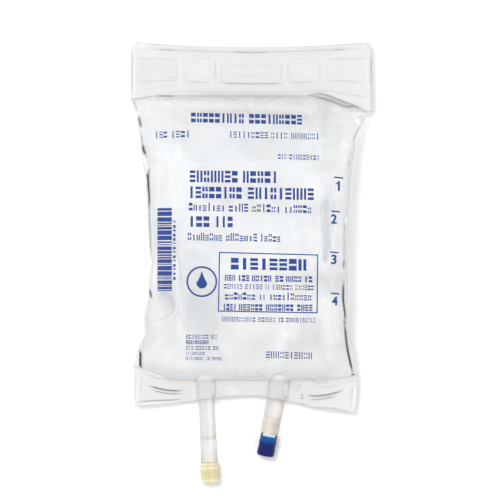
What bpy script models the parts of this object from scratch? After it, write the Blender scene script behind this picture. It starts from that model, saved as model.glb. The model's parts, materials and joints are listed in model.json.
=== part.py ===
# Clear film bag for intravenous fluid, filled with half a litre and lying on its back.
# Frame: +X across the bag, +Y towards the hanger, +Z up from the table. The origin is on the
# table, under the middle of the whole length from the hanger's corners to the tip of the rubber bung.
import math

import bmesh
import bpy
from mathutils import Matrix, Vector

MM = 0.001

# Film and hanger band
LAY_FLAT_WIDTH = 131.6 * MM
FILM = 0.4 * MM
GAP = 0.3 * MM  # between any two pieces
HANGER_HEIGHT = 23.0 * MM
HANGER_CORNER_RISE = 2.8 * MM
HANGER_DROOP = 2.0 * MM
SEAM_HEIGHT = 9.0 * MM
LIP_HEIGHT = 3.4 * MM
LIP_THICKNESS = 1.5 * MM
LIP_INSET = 1.2 * MM
GROOVE_WIDTH = 0.6 * MM
GROOVE_THICKNESS = 0.5 * MM
GROOVE_EASE = 1.5 * MM

# Embossed pads of the hanger band, and the slit that it hangs by
PAD_HEIGHT = 15.0 * MM
PAD_FROM_SEAL = 4.2 * MM
PAD_THICKNESS = 2.0 * MM
PAD_EDGE = 0.5 * MM
PAD_CORNER = 2.5 * MM
PAD_GAP = 3.2 * MM
END_PAD_SHIFT = 0.6 * MM
CENTRE_PAD_WIDTH = 35.4 * MM
SMALL_PAD_WIDTH = 17.0 * MM
END_PAD_WIDTH = 23.0 * MM
SLIT_LENGTH = 30.0 * MM
SLIT_RISE = 2.4 * MM
SLIT_GAP = 0.6 * MM
SLIT_FROM_PAD_EDGE = 1.6 * MM

# Pouch
POUCH_LENGTH = 162.0 * MM
POUCH_THICKNESS = 43.0 * MM
LEFT_SHOULDER = 5.0 * MM
RIGHT_SHOULDER = 12.0 * MM
LEFT_SHOULDER_SPAN = (0.72, 0.98)  # of the half width
RIGHT_SHOULDER_SPAN = (0.48, 0.94)
CONTACT_MARGIN = 22.0 * MM
CORNER_SEAM_WALL = 2.5 * MM
SEAM_SHARE = 0.42  # height of the side folds, as a share of the thickness
GATHER_HEIGHT = 0.5 * MM
GATHER_PITCH = 17.0 * MM
GATHER_REACH = 11.0 * MM
MOST_FOLD = 0.4  # of the height above the side folds

# How the pouch fills out from its flat ends: shares of its length and powers of the curves
ROUNDING_SHARE = 0.22
END_PULL_SHARE = 0.1
FULLNESS_SPREAD = 2.6
FULLNESS_RISE = 0.75
SHARP_SIDE_POWER = 1.6
ROUND_SIDE_POWER = 0.87
PLATE_SIDE_POWER = 0.3
SIDE_CROWDING = 0.93
UNDERSIDE_POWER = 2.2
UNDERSIDE_PRESS = 1.04

# Bottom seal band with flared ends
BAND_HEIGHT = 8.1 * MM
LEFT_FLARE = 7.5 * MM
RIGHT_FLARE = 3.5 * MM
BAND_END_LIFT = 1.6 * MM
BAND_LIFT_START = 0.55  # of the half width
FLARE_START = 0.6

# Both ports: their axes cross the middle of the band's lower edge at one height
PORT_AXIS_HEIGHT = 6.5 * MM
PORT_PAST_SEAL = 1.2 * MM
SOCKET_WALL = 0.5 * MM
SOCKET_REACH = 3.6 * MM
SOCKET_DOME_SHIFT = 0.5 * MM
CUTTER_REACH = 5.0 * MM
EDGE_BREAK = 0.2 * MM

# Injection port: tube, sleeve and rubber bung
INJECTION_X = -25.3 * MM
INJECTION_LEAN = math.radians(2.6)
INJECTION_TUBE_DIAMETER = 8.8 * MM
INJECTION_TUBE_WALL = 1.0 * MM
INJECTION_TUBE_REACH = 23.8 * MM
SLEEVE_DIAMETER = 9.1 * MM
SLEEVE_BORE = 4.6 * MM
SLEEVE_LENGTH = 13.0 * MM
SPIGOT_LENGTH = 7.5 * MM
BUNG_DIAMETER = 10.3 * MM
BUNG_LENGTH = 11.0 * MM
BUNG_PLUG_DIAMETER = 6.0 * MM
BUNG_PLUG_LENGTH = 6.0 * MM
BUNG_ROUNDING = 1.0 * MM
BUNG_DISH_DIAMETER = 5.6 * MM
BUNG_DISH_DEPTH = 0.5 * MM
BUNG_FLUTES = 16
BUNG_FLUTE_DEPTH = 0.2 * MM

# Spike port: tube, membrane tube and pull-off cap
SPIKE_X = 13.8 * MM
SPIKE_LEAN = math.radians(-11.0)
SPIKE_TUBE_DIAMETER = 10.1 * MM
SPIKE_TUBE_WALL = 0.65 * MM
SPIKE_TUBE_REACH = 21.3 * MM
MEMBRANE_TUBE_TOP = 12.6 * MM
MEMBRANE_TUBE_BORE = 6.6 * MM
MEMBRANE_FROM_TOP = 3.4 * MM
MEMBRANE_THICKNESS = 0.8 * MM
MEMBRANE_GROOVE = 0.25 * MM
NOSE_WALL = 0.55 * MM
NOSE_LENGTH = 8.6 * MM
CAP_LENGTH = 12.7 * MM
CAP_WALL = 0.5 * MM
CAP_BULGE = 0.25 * MM
CAP_END = 1.8 * MM
CAP_ROUNDING = 1.5 * MM
CAP_TRAVEL = 16.0 * MM

# Facets
UNDER_STEPS = 13
TOP_STEPS = 2 * UNDER_STEPS
POUCH_ROWS = 28
ROUND_STEPS = 24
DOME_STEPS = 4
CORNER_STEPS = 3
STEPS_PER_FLUTE = 3

# How far the filled pouch's sides draw in from the lay-flat width: (share of its length, distance)
LEFT_DRAW = [(0, 0), (0.03, 0.2 * MM), (0.09, 2.4 * MM), (0.15, 3.6 * MM), (0.2, 5.4 * MM),
             (0.27, 8.3 * MM), (0.45, 8.6 * MM), (0.59, 9.9 * MM), (0.7, 8.9 * MM), (0.8, 7.2 * MM),
             (0.88, 4.6 * MM), (0.95, 1.8 * MM), (1, 0.5 * MM)]
RIGHT_DRAW = [(0, 0), (0.03, 0.4 * MM), (0.08, 3.0 * MM), (0.135, 6.2 * MM), (0.18, 10.0 * MM),
              (0.3, 11.7 * MM), (0.5, 12.4 * MM), (0.75, 12.4 * MM), (0.86, 12.0 * MM),
              (0.92, 9.6 * MM), (1, 7.2 * MM)]
# How far the band's lower edge drops below its middle: (share of the half width, distance)
LEFT_DROP = [(0, 0), (0.3, 1.4 * MM), (0.55, 3.3 * MM), (0.8, 5.2 * MM), (1, 6.2 * MM)]
RIGHT_DROP = [(0, 0), (0.25, 2.0 * MM), (0.5, 6.6 * MM), (0.75, 9.0 * MM), (1, 11.0 * MM)]

# Soft folds in the front film: both ends as (share of the half width, share of the length), width, depth
FOLDS = [
    ((0.56, 0.26), (0.50, 0.42), 6.5 * MM, 1.9 * MM),
    ((0.50, 0.42), (0.57, 0.64), 7.0 * MM, 2.4 * MM),
    ((0.57, 0.66), (0.58, 0.90), 7.5 * MM, 1.7 * MM),
    ((0.30, 0.40), (0.27, 0.58), 8.0 * MM, 0.8 * MM),
    ((0.72, 0.05), (0.48, 0.20), 6.0 * MM, 1.8 * MM),
    ((0.86, 0.10), (0.70, 0.24), 5.0 * MM, 1.6 * MM),
    ((-0.74, 0.04), (-0.60, 0.18), 6.0 * MM, 1.7 * MM),
    ((-0.56, 0.14), (-0.60, 0.27), 7.0 * MM, 1.3 * MM),
    ((-0.76, 0.46), (-0.72, 0.60), 7.0 * MM, 1.2 * MM),
    ((-0.84, 0.72), (-0.78, 0.74), 6.5 * MM, 2.6 * MM),
    ((-0.98, 0.80), (-0.70, 0.77), 5.0 * MM, 1.6 * MM),
    ((-0.63, 0.70), (-0.62, 0.90), 7.0 * MM, 1.3 * MM),
    ((-0.72, 0.99), (-0.50, 0.86), 5.5 * MM, 1.5 * MM),
    ((-0.38, 1.00), (-0.30, 0.93), 6.0 * MM, 1.3 * MM),
    ((0.06, 1.00), (0.04, 0.93), 6.0 * MM, 1.2 * MM),
    ((0.36, 1.00), (0.28, 0.84), 6.0 * MM, 1.5 * MM),
    ((0.72, 0.99), (0.62, 0.88), 5.5 * MM, 1.3 * MM),
    ((-0.22, 0.00), (-0.18, 0.06), 6.0 * MM, 0.9 * MM),
    ((0.20, 0.00), (0.16, 0.05), 6.0 * MM, 0.8 * MM),
]

# Worked out from the sizes above
HALF_WIDTH = LAY_FLAT_WIDTH / 2
BUNG_RADIUS = BUNG_DIAMETER / 2
CAP_RADIUS = MEMBRANE_TUBE_BORE / 2 + NOSE_WALL + GAP + CAP_WALL
INJECTION_REACH = INJECTION_TUBE_REACH + GAP + SLEEVE_LENGTH + GAP + BUNG_LENGTH
SPIKE_REACH = SPIKE_TUBE_REACH + GAP + CAP_LENGTH
INJECTION_FALL = math.asin((PORT_AXIS_HEIGHT - BUNG_RADIUS) / INJECTION_REACH)
SPIKE_FALL = math.asin((PORT_AXIS_HEIGHT - CAP_RADIUS - CAP_BULGE) / (SPIKE_REACH + CAP_TRAVEL))
TIP_BELOW_BAND = (INJECTION_REACH * math.cos(INJECTION_FALL) * math.cos(INJECTION_LEAN)
                  + BUNG_RADIUS * math.sin(INJECTION_LEAN))
WHOLE_LENGTH = HANGER_CORNER_RISE + HANGER_HEIGHT + POUCH_LENGTH + BAND_HEIGHT + TIP_BELOW_BAND
TOP_EDGE_Y = WHOLE_LENGTH / 2 - HANGER_CORNER_RISE
SEAL_Y = TOP_EDGE_Y - HANGER_HEIGHT
LOWER_SEAL_Y = SEAL_Y - POUCH_LENGTH
BAND_EDGE_Y = LOWER_SEAL_Y - BAND_HEIGHT
PORT_INSERT = BAND_HEIGHT + PORT_PAST_SEAL


def clamp(value, low=0.0, high=1.0):
    return max(low, min(high, value))


def ease(value):
    value = clamp(value)
    return value * value * (3 - 2 * value)


def ease_between(span, value):
    return ease((value - span[0]) / (span[1] - span[0]))


def mix(low, high, share):
    return low + (high - low) * share


def curve_at(points, place):
    """The value at a place on a smooth curve through (place, value) points."""
    place = clamp(place, points[0][0], points[-1][0])
    index = max(i for i in range(len(points) - 1) if points[i][0] <= place)

    def slope(i):
        before, after = points[max(i - 1, 0)], points[min(i + 1, len(points) - 1)]
        return (after[1] - before[1]) / (after[0] - before[0])

    (start, low), (end, high) = points[index], points[index + 1]
    span = end - start
    t = (place - start) / span
    return (low * (2 * t**3 - 3 * t**2 + 1) + high * (3 * t**2 - 2 * t**3)
            + slope(index) * span * (t**3 - 2 * t**2 + t) + slope(index + 1) * span * (t**3 - t**2))


def make_material(name, colour, roughness, transmission=0.0, ior=1.45):
    material = bpy.data.materials.new(name)
    material.use_nodes = True
    shader = material.node_tree.nodes["Principled BSDF"]
    shader.inputs["Base Color"].default_value = (*colour, 1)
    shader.inputs["Roughness"].default_value = roughness
    shader.inputs["Metallic"].default_value = 0.0
    shader.inputs["Transmission Weight"].default_value = transmission
    shader.inputs["IOR"].default_value = ior
    material.diffuse_color = (*colour, 1)
    return material


def add_object(name, bm, material=None, place=None):
    bmesh.ops.recalc_face_normals(bm, faces=bm.faces)
    mesh = bpy.data.meshes.new(name)
    bm.to_mesh(mesh)
    bm.free()
    mesh.shade_smooth()
    mesh.set_sharp_from_angle(angle=math.radians(35))
    made = bpy.data.objects.new(name, mesh)
    bpy.context.scene.collection.objects.link(made)
    if place is not None:
        made.matrix_world = place
    if material is not None:
        mesh.materials.append(material)
    return made


def as_helper(helper):
    helper.hide_render = True
    helper.display_type = "WIRE"
    return helper


def boolean(target, helper, operation):
    modifier = target.modifiers.new(f"{operation.lower()} {helper.name}", "BOOLEAN")
    modifier.operation = operation
    modifier.object = as_helper(helper)


def join_rings(bm, rings):
    """Side faces between rings of as many points each, split alike so that nested skins stay parallel."""
    loops = [[bm.verts.new(point) for point in ring] for ring in rings]
    for first, second in zip(loops, loops[1:]):
        for i in range(len(first)):
            j = (i + 1) % len(first)
            bm.faces.new((first[i], first[j], second[j]))
            bm.faces.new((first[i], second[j], second[i]))
    return loops


# Shape of the film in plan
def shoulder(x):
    """How far the pouch starts below the seal at the band's corners, where the film lies flat."""
    share = x / HALF_WIDTH
    if share < 0:
        return LEFT_SHOULDER * ease_between(LEFT_SHOULDER_SPAN, -share)
    return RIGHT_SHOULDER * ease_between(RIGHT_SHOULDER_SPAN, share)


def flare(x):
    """How far the bottom seal rises towards its flared ends."""
    height = LEFT_FLARE if x < 0 else RIGHT_FLARE
    return height * ease_between((FLARE_START, 1), abs(x) / HALF_WIDTH)


def edge_drop(x):
    share = abs(x) / HALF_WIDTH
    return curve_at(LEFT_DROP if x < 0 else RIGHT_DROP, share)


def end_lift(x):
    return BAND_END_LIFT * ease_between((BAND_LIFT_START, 1), abs(x) / HALF_WIDTH)


def side_of(share, draw):
    return HALF_WIDTH - curve_at(draw, share)


def ring_angles():
    """Angles round a section: over the top from the left seam, then back under the bag."""
    def spread(step, steps):
        share = step / steps
        return mix(math.pi * share, math.acos(1 - 2 * share), 0.6)

    over = [spread(i, TOP_STEPS) for i in range(TOP_STEPS)]
    under = [math.pi + spread(i, UNDER_STEPS) for i in range(UNDER_STEPS)]
    return over + under


def flat_ring(left, right, y_of, z_of, thickness):
    """A section through welded film: a thin plate with slightly rounded side edges."""
    points = []
    for angle in ring_angles():
        x = mix(left, right, (1 - math.cos(angle)) / 2)
        height = math.copysign(abs(math.sin(angle)) ** PLATE_SIDE_POWER, math.sin(angle)) * thickness / 2
        y = y_of(x)
        points.append(Vector((x, y, z_of(x, y) + height)))
    return points


def hanger_z(y):
    return SEAM_HEIGHT - HANGER_DROOP * (y - SEAL_Y) / HANGER_HEIGHT


def hanger_rings():
    """Rows down the hanger band: its rolled lip, the groove under it and the flat film."""
    lip_end = LIP_HEIGHT + GROOVE_WIDTH
    rows = [(0.0, LIP_THICKNESS * 0.5, LIP_INSET), (0.25 * LIP_HEIGHT, LIP_THICKNESS, LIP_INSET),
            (0.8 * LIP_HEIGHT, LIP_THICKNESS, LIP_INSET), (LIP_HEIGHT, GROOVE_THICKNESS, LIP_INSET),
            (lip_end, 2 * FILM, LIP_INSET * 0.4), (lip_end + GROOVE_EASE, 2 * FILM, 0),
            (0.6 * HANGER_HEIGHT, 2 * FILM, 0)]
    rings = []
    for down, thickness, inset in rows:
        blend = ease(down / HANGER_HEIGHT)
        half = HALF_WIDTH - inset

        def y_of(x, down=down, blend=blend, half=half):
            rise = HANGER_CORNER_RISE * (x / half) ** 2
            return TOP_EDGE_Y - down + rise * (1 - blend) - shoulder(x) * blend

        rings.append(flat_ring(-half, half, y_of, lambda x, y: hanger_z(y), thickness))
    return rings


def band_rings():
    """Rows down the bottom seal band, from the seal to its lower edge."""
    rings = []
    for share in (0.35, 0.75, 1.0):
        left, right = -side_of(1, LEFT_DRAW), side_of(1, RIGHT_DRAW)

        def y_of(x, share=share):
            return mix(LOWER_SEAL_Y + flare(x), BAND_EDGE_Y - edge_drop(x), share)

        rings.append(flat_ring(left, right, y_of, lambda x, y: PORT_AXIS_HEIGHT + end_lift(x), 2 * FILM))
    return rings


# Shape of the filled pouch
def pouch_rows():
    """Shares of the pouch's length, closer together towards its ends."""
    steps = [i / POUCH_ROWS for i in range(POUCH_ROWS + 1)]
    return [mix(step, (1 - math.cos(math.pi * step)) / 2, 0.6) for step in steps]


def distance_to_fold(x, y, start, end):
    along, across = end - start, Vector((x, y)) - start
    share = clamp(across.dot(along) / along.length_squared)
    return (across - along * share).length


def fold_depth(x, y, row):
    """How far folds and the gathers along the seals pull the front film down at a point."""
    depth = 0.0
    for first, last, width, deep in FOLDS:
        start, end = (Vector((part[0] * HALF_WIDTH, mix(SEAL_Y, LOWER_SEAL_Y, part[1]))) for part in (first, last))
        depth += deep * math.exp(-((distance_to_fold(x, y, start, end) / width) ** 2))
    from_seal = min(row, 1 - row) * POUCH_LENGTH
    gathers = math.sin(2 * math.pi * x / GATHER_PITCH + 9 * row) * GATHER_HEIGHT
    return depth + gathers * math.exp(-from_seal / GATHER_REACH)


def pouch_ring(row, skin):
    """A section of the pouch; skin is how far inside the outer face it lies."""
    end = min(row, 1 - row)
    fullness = (1 - abs(2 * row - 1) ** FULLNESS_SPREAD) ** FULLNESS_RISE
    rounding = ease(end / ROUNDING_SHARE)
    settle = ease(end * POUCH_LENGTH / CONTACT_MARGIN)
    seam_end = mix(SEAM_HEIGHT, PORT_AXIS_HEIGHT, ease(row))
    seam = mix(seam_end, SEAM_SHARE * POUCH_THICKNESS, fullness)
    over = mix(seam_end + FILM, POUCH_THICKNESS, fullness) - seam
    lowest = mix(seam_end - FILM, 0, settle) + skin
    under = seam - lowest
    side = skin * mix(CORNER_SEAM_WALL / FILM, 1, rounding)
    left, right = -side_of(row, LEFT_DRAW), side_of(row, RIGHT_DRAW)
    power = mix(SHARP_SIDE_POWER, ROUND_SIDE_POWER, rounding) if 0 < row < 1 else PLATE_SIDE_POWER
    crowding = mix(1, SIDE_CROWDING, rounding)
    lift_share = ease((row - 1 + END_PULL_SHARE) / END_PULL_SHARE)
    points = []
    for angle in ring_angles():
        sine, cosine = math.sin(angle), math.cos(angle)
        share = (1 - math.copysign(abs(cosine) ** crowding, cosine)) / 2
        outer_x = mix(left, right, share)
        y = mix(SEAL_Y - shoulder(outer_x), LOWER_SEAL_Y + flare(outer_x), row)
        z = seam + end_lift(outer_x) * lift_share
        rise = abs(sine) ** power
        if sine > 1e-9:
            fold = min(fold_depth(outer_x, y, row) * min(1, 3 * rise), MOST_FOLD * over * rise)
            z += (over - skin) * rise - fold
        elif sine < -1e-9:
            z = max(lowest, z - UNDERSIDE_PRESS * under * (1 - (1 - rise) ** UNDERSIDE_POWER))
        points.append(Vector((mix(left + side, right - side, share), y, z)))
    return points


def ladder(bm, ring):
    """Closes a section with faces across it, two steps of its top to each step underneath."""
    for j in range(UNDER_STEPS):
        start, middle, end = ring[2 * j:2 * j + 3]
        below_start, below_end = ring[-j] if j else ring[0], ring[-j - 1]
        corners = [(start, middle, below_start), (middle, below_end, below_start), (middle, end, below_end)]
        for face in corners:
            if len(set(face)) == 3:
                bm.faces.new(face)


def loft(name, rings, material=None):
    bm = bmesh.new()
    loops = join_rings(bm, rings)
    ladder(bm, loops[0])
    ladder(bm, loops[-1])
    return add_object(name, bm, material)


# Turned pieces, on a port's axis
def port_place(x, lean, fall):
    """Local Z runs out along the port, from the middle of the band's lower edge."""
    outward = Vector((math.sin(lean) * math.cos(fall), -math.cos(lean) * math.cos(fall), -math.sin(fall)))
    across = outward.cross(Vector((0, 0, 1))).normalized()
    turn = Matrix((across, outward.cross(across), outward)).transposed().to_4x4()
    return Matrix.Translation((x, BAND_EDGE_Y, PORT_AXIS_HEIGHT)) @ turn


def turned(name, profile, place, material=None, closed=False, steps=ROUND_STEPS):
    """Spins (distance, radius) points about the port's axis; an open profile ends on the axis."""
    bm = bmesh.new()
    verts = [bm.verts.new((radius, 0, distance)) for distance, radius in profile]
    edges = [bm.edges.new(pair) for pair in zip(verts, verts[1:])]
    if closed:
        edges.append(bm.edges.new((verts[-1], verts[0])))
    bmesh.ops.spin(bm, geom=verts + edges, cent=(0, 0, 0), axis=(0, 0, 1), angle=2 * math.pi,
                   steps=steps, use_merge=True)
    bmesh.ops.remove_doubles(bm, verts=bm.verts, dist=1e-7)
    return add_object(name, bm, material, place)


def pipe_profile(start, end, bore, outer):
    return [(start, bore), (start, outer - EDGE_BREAK), (start + EDGE_BREAK, outer),
            (end - EDGE_BREAK, outer), (end, outer - EDGE_BREAK), (end, bore)]


def dome_profile(centre, radius, neck):
    """Points from the axis round a dome to its neck, the dome bulging into the bag."""
    sweep = math.pi / 2 + math.asin(clamp((neck - centre) / radius, -1, 1))
    angles = [sweep * i / DOME_STEPS for i in range(DOME_STEPS + 1)]
    return [(centre - radius * math.cos(a), radius * math.sin(a)) for a in angles]


def add_port_socket(film, name, place, tube_radius):
    """The film drawn over a port tube, domed at its inner end, with the bore that holds the tube."""
    centre = -PORT_INSERT + SOCKET_DOME_SHIFT
    bore = tube_radius + GAP
    outer = bore + SOCKET_WALL
    boss = dome_profile(centre, outer, centre) + [(SOCKET_REACH, outer), (SOCKET_REACH, 0)]
    boolean(film, turned(f"{name}_boss", boss, place), "UNION")
    hole = dome_profile(centre, bore, centre) + [(SOCKET_REACH + CUTTER_REACH, bore), (SOCKET_REACH + CUTTER_REACH, 0)]
    return turned(f"{name}_bore", hole, place)


def fluid_core(name, place, tube_radius, steps_out):
    """The fluid that stands in a port: a dome behind the tube, then (end, radius) lengths in it."""
    centre = -PORT_INSERT + SOCKET_DOME_SHIFT
    profile = dome_profile(centre, tube_radius, -PORT_INSERT - GAP)
    for end, radius in steps_out:
        profile += [(profile[-1][0], radius), (end, radius)]
    return turned(name, profile + [(profile[-1][0], 0)], place)


# Hanger band details
def hanger_place(y):
    slope = math.atan2(HANGER_DROOP, HANGER_HEIGHT)
    return Matrix.Translation((0, y, hanger_z(y))) @ Matrix.Rotation(-slope, 4, "X")


def rounded_outline(width, height, corner):
    points = []
    for index, (sx, sy) in enumerate(((1, 1), (-1, 1), (-1, -1), (1, -1))):
        for step in range(CORNER_STEPS + 1):
            angle = math.pi / 2 * (index + step / CORNER_STEPS)
            points.append((sx * (width / 2 - corner) + corner * math.cos(angle),
                           sy * (height / 2 - corner) + corner * math.sin(angle)))
    return points


def hanger_pad(name, x, width):
    levels = [(-PAD_THICKNESS / 2, PAD_EDGE), (-PAD_THICKNESS / 2 + PAD_EDGE / 2, 0),
              (PAD_THICKNESS / 2 - PAD_EDGE / 2, 0), (PAD_THICKNESS / 2, PAD_EDGE)]
    rings = [[Vector((x + px, py, z)) for px, py in
              rounded_outline(width - 2 * inset, PAD_HEIGHT - 2 * inset, PAD_CORNER - inset)]
             for z, inset in levels]
    bm = bmesh.new()
    loops = join_rings(bm, rings)
    bm.faces.new(loops[0])
    bm.faces.new(loops[-1])
    return add_object(name, bm, place=hanger_place(SEAL_Y + PAD_FROM_SEAL + PAD_HEIGHT / 2))


def hanger_slit():
    """A U-shaped cut whose flap folds up over the hook."""
    half, gap, rise = SLIT_LENGTH / 2, SLIT_GAP, SLIT_RISE
    outline = [(-half, rise), (-half, 0), (half, 0), (half, rise), (half - gap, rise),
               (half - gap, gap), (gap - half, gap), (gap - half, rise)]
    bm = bmesh.new()
    depth = 2 * PAD_THICKNESS
    face = bm.faces.new([bm.verts.new((x, y, -depth / 2)) for x, y in outline])
    grown = bmesh.ops.extrude_face_region(bm, geom=[face])["geom"]
    bmesh.ops.translate(bm, vec=(0, 0, depth), verts=[v for v in grown if isinstance(v, bmesh.types.BMVert)])
    return add_object("hanger_slit_cut", bm,
                      place=hanger_place(SEAL_Y + PAD_FROM_SEAL + SLIT_FROM_PAD_EDGE))


def add_hanger_details(film):
    small_x = CENTRE_PAD_WIDTH / 2 + PAD_GAP + SMALL_PAD_WIDTH / 2
    end_x = small_x + SMALL_PAD_WIDTH / 2 + PAD_GAP + END_PAD_SHIFT + END_PAD_WIDTH / 2
    boolean(film, hanger_pad("centre_pad", 0, CENTRE_PAD_WIDTH), "UNION")
    for side, sign in (("left", -1), ("right", 1)):
        boolean(film, hanger_pad(f"{side}_small_pad", sign * small_x, SMALL_PAD_WIDTH), "UNION")
        boolean(film, hanger_pad(f"{side}_end_pad", sign * end_x, END_PAD_WIDTH), "UNION")
    boolean(film, hanger_slit(), "DIFFERENCE")


# The pieces
def make_film_and_fluid(injection, spike):
    rows = pouch_rows()
    film = loft("film_bag", hanger_rings() + [pouch_ring(row, 0) for row in rows] + band_rings(),
                make_material("clear_film", (0.93, 0.95, 0.97), 0.12, 0.95, 1.5))
    bores = [add_port_socket(film, "injection", injection, INJECTION_TUBE_DIAMETER / 2),
             add_port_socket(film, "spike", spike, SPIKE_TUBE_DIAMETER / 2)]
    add_hanger_details(film)
    inside = rows[1:-1]
    hollow = loft("pouch_inside", [pouch_ring(row, FILM) for row in inside])
    for bore in bores:
        boolean(hollow, bore, "UNION")
    boolean(film, hollow, "DIFFERENCE")

    rings = [pouch_ring(row, FILM + GAP) for row in inside]
    for end, neighbour in ((0, 1), (-1, -2)):
        clear = 3 * GAP / POUCH_LENGTH / abs(inside[end] - inside[neighbour])
        rings[end] = [near.lerp(far, clear) for near, far in zip(rings[end], rings[neighbour])]
    fluid = loft("fluid_fill", rings, make_material("clear_fluid", (0.96, 0.98, 1.0), 0.0, 1.0, 1.33))
    tube_bore = INJECTION_TUBE_DIAMETER / 2 - INJECTION_TUBE_WALL
    spigot_top = INJECTION_TUBE_REACH + GAP - SPIGOT_LENGTH
    plug_face = INJECTION_REACH - BUNG_LENGTH - BUNG_PLUG_LENGTH
    lengths = [(spigot_top - GAP, tube_bore - GAP), (plug_face - GAP, SLEEVE_BORE / 2 - GAP)]
    boolean(fluid, fluid_core("injection_fluid", injection, INJECTION_TUBE_DIAMETER / 2, lengths), "UNION")
    membrane = MEMBRANE_TUBE_TOP + MEMBRANE_FROM_TOP
    lengths = [(membrane - GAP, MEMBRANE_TUBE_BORE / 2 - GAP)]
    boolean(fluid, fluid_core("spike_fluid", spike, SPIKE_TUBE_DIAMETER / 2, lengths), "UNION")


def make_injection_port(place):
    vinyl = make_material("milky_vinyl", (0.88, 0.88, 0.85), 0.25, 0.6, 1.5)
    radius = INJECTION_TUBE_DIAMETER / 2
    bore = radius - INJECTION_TUBE_WALL
    turned("injection_tube", pipe_profile(-PORT_INSERT, INJECTION_TUBE_REACH, bore, radius), place, vinyl,
           closed=True)

    top = INJECTION_TUBE_REACH + GAP
    end = top + SLEEVE_LENGTH
    outer = SLEEVE_DIAMETER / 2
    plug = BUNG_PLUG_DIAMETER / 2
    floor = end + GAP - BUNG_PLUG_LENGTH - 2 * GAP
    profile = [(top - SPIGOT_LENGTH, SLEEVE_BORE / 2), (top - SPIGOT_LENGTH, bore - GAP), (top, bore - GAP),
               (top, outer - EDGE_BREAK), (top + EDGE_BREAK, outer), (end - EDGE_BREAK, outer),
               (end, outer - EDGE_BREAK), (end, plug + GAP), (floor, plug + GAP), (floor, SLEEVE_BORE / 2)]
    turned("injection_sleeve", profile, place, make_material("clear_vinyl", (0.9, 0.91, 0.9), 0.15, 0.8, 1.5),
           closed=True)

    make_bung(place, end + GAP)


def make_bung(place, top):
    """Rubber stopper that a needle goes through: a plug in the sleeve and a fluted head."""
    rubber = make_material("cream_rubber", (0.83, 0.71, 0.42), 0.55)
    end = top + BUNG_LENGTH
    dish = BUNG_DISH_DIAMETER / 2
    plug = BUNG_PLUG_DIAMETER / 2
    profile = [(top - BUNG_PLUG_LENGTH, 0), (top - BUNG_PLUG_LENGTH, plug - 2 * EDGE_BREAK),
               (top - BUNG_PLUG_LENGTH + 2 * EDGE_BREAK, plug), (top, plug), (top, BUNG_RADIUS - EDGE_BREAK),
               (top + EDGE_BREAK, BUNG_RADIUS), (end - BUNG_ROUNDING, BUNG_RADIUS)]
    for share in (0.4, 0.75, 1.0):
        angle = math.pi / 2 * share
        profile.append((end - BUNG_ROUNDING * (1 - math.sin(angle)),
                        BUNG_RADIUS - BUNG_ROUNDING * (1 - math.cos(angle))))
    profile += [(end, dish), (end - BUNG_DISH_DEPTH, dish - BUNG_DISH_DEPTH), (end - BUNG_DISH_DEPTH, 0)]
    bung = turned("injection_bung", profile, place, rubber, steps=STEPS_PER_FLUTE * BUNG_FLUTES)
    shrink = 1 - BUNG_FLUTE_DEPTH / BUNG_RADIUS
    for vert in bung.data.vertices:
        turn = math.atan2(vert.co.y, vert.co.x) / (2 * math.pi)
        outside = math.hypot(vert.co.x, vert.co.y) > BUNG_RADIUS - EDGE_BREAK / 2
        if outside and round(turn * STEPS_PER_FLUTE * BUNG_FLUTES) % STEPS_PER_FLUTE == 0:
            vert.co.x *= shrink
            vert.co.y *= shrink


def make_spike_port(place):
    radius = SPIKE_TUBE_DIAMETER / 2
    bore = radius - SPIKE_TUBE_WALL
    turned("spike_tube", pipe_profile(-PORT_INSERT, SPIKE_TUBE_REACH, bore, radius), place,
           make_material("tinted_vinyl", (0.86, 0.82, 0.76), 0.2, 0.7, 1.5), closed=True)

    top, seat = MEMBRANE_TUBE_TOP, SPIKE_TUBE_REACH
    body, channel = bore - GAP, MEMBRANE_TUBE_BORE / 2
    nose = channel + NOSE_WALL
    end = seat + NOSE_LENGTH
    membrane = top + MEMBRANE_FROM_TOP
    far = membrane + MEMBRANE_THICKNESS
    groove = body - MEMBRANE_GROOVE
    profile = [(membrane, 0), (membrane, channel), (top, channel), (top, body - EDGE_BREAK),
               (top + EDGE_BREAK, body), (membrane - EDGE_BREAK, body), (membrane, groove), (far, groove),
               (far + EDGE_BREAK, body), (seat, body), (seat, nose), (end - EDGE_BREAK, nose),
               (end, nose - EDGE_BREAK), (end, channel), (far, channel), (far, 0)]
    turned("membrane_tube", profile, place, make_material("amber_vinyl", (0.8, 0.72, 0.62), 0.25, 0.6, 1.5))

    make_cap(place, seat + GAP, nose + GAP)


def make_cap(place, top, inner):
    """Closed cup over the membrane tube's nose; it pulls straight off along the port."""
    end = top + CAP_LENGTH
    outer = inner + CAP_WALL
    bulge = outer + CAP_BULGE
    profile = [(end - CAP_END, 0), (end - CAP_END, inner), (top, inner), (top, outer - EDGE_BREAK),
               (top + EDGE_BREAK, outer), (mix(top, end, 0.28), outer), (mix(top, end, 0.36), bulge),
               (mix(top, end, 0.62), outer + CAP_BULGE * 0.4), (end - CAP_ROUNDING, bulge)]
    for share in (0.35, 0.7, 1.0):
        angle = math.pi / 2 * share
        profile.append((end - CAP_ROUNDING * (1 - math.sin(angle)), bulge - CAP_ROUNDING * (1 - math.cos(angle))))
    turned("pull_off_cap", profile + [(end, 0)], place, make_material("blue_cap", (0.02, 0.06, 0.3), 0.3, 0.3, 1.5))


def main():
    for old in list(bpy.data.objects):
        bpy.data.objects.remove(old)
    injection = port_place(INJECTION_X, INJECTION_LEAN, INJECTION_FALL)
    spike = port_place(SPIKE_X, SPIKE_LEAN, SPIKE_FALL)
    make_film_and_fluid(injection, spike)
    make_injection_port(injection)
    make_spike_port(spike)


main()
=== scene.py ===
# Intravenous fluid bag, lying on its back: fine film, fluid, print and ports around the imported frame.
import json
import math
import random

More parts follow.
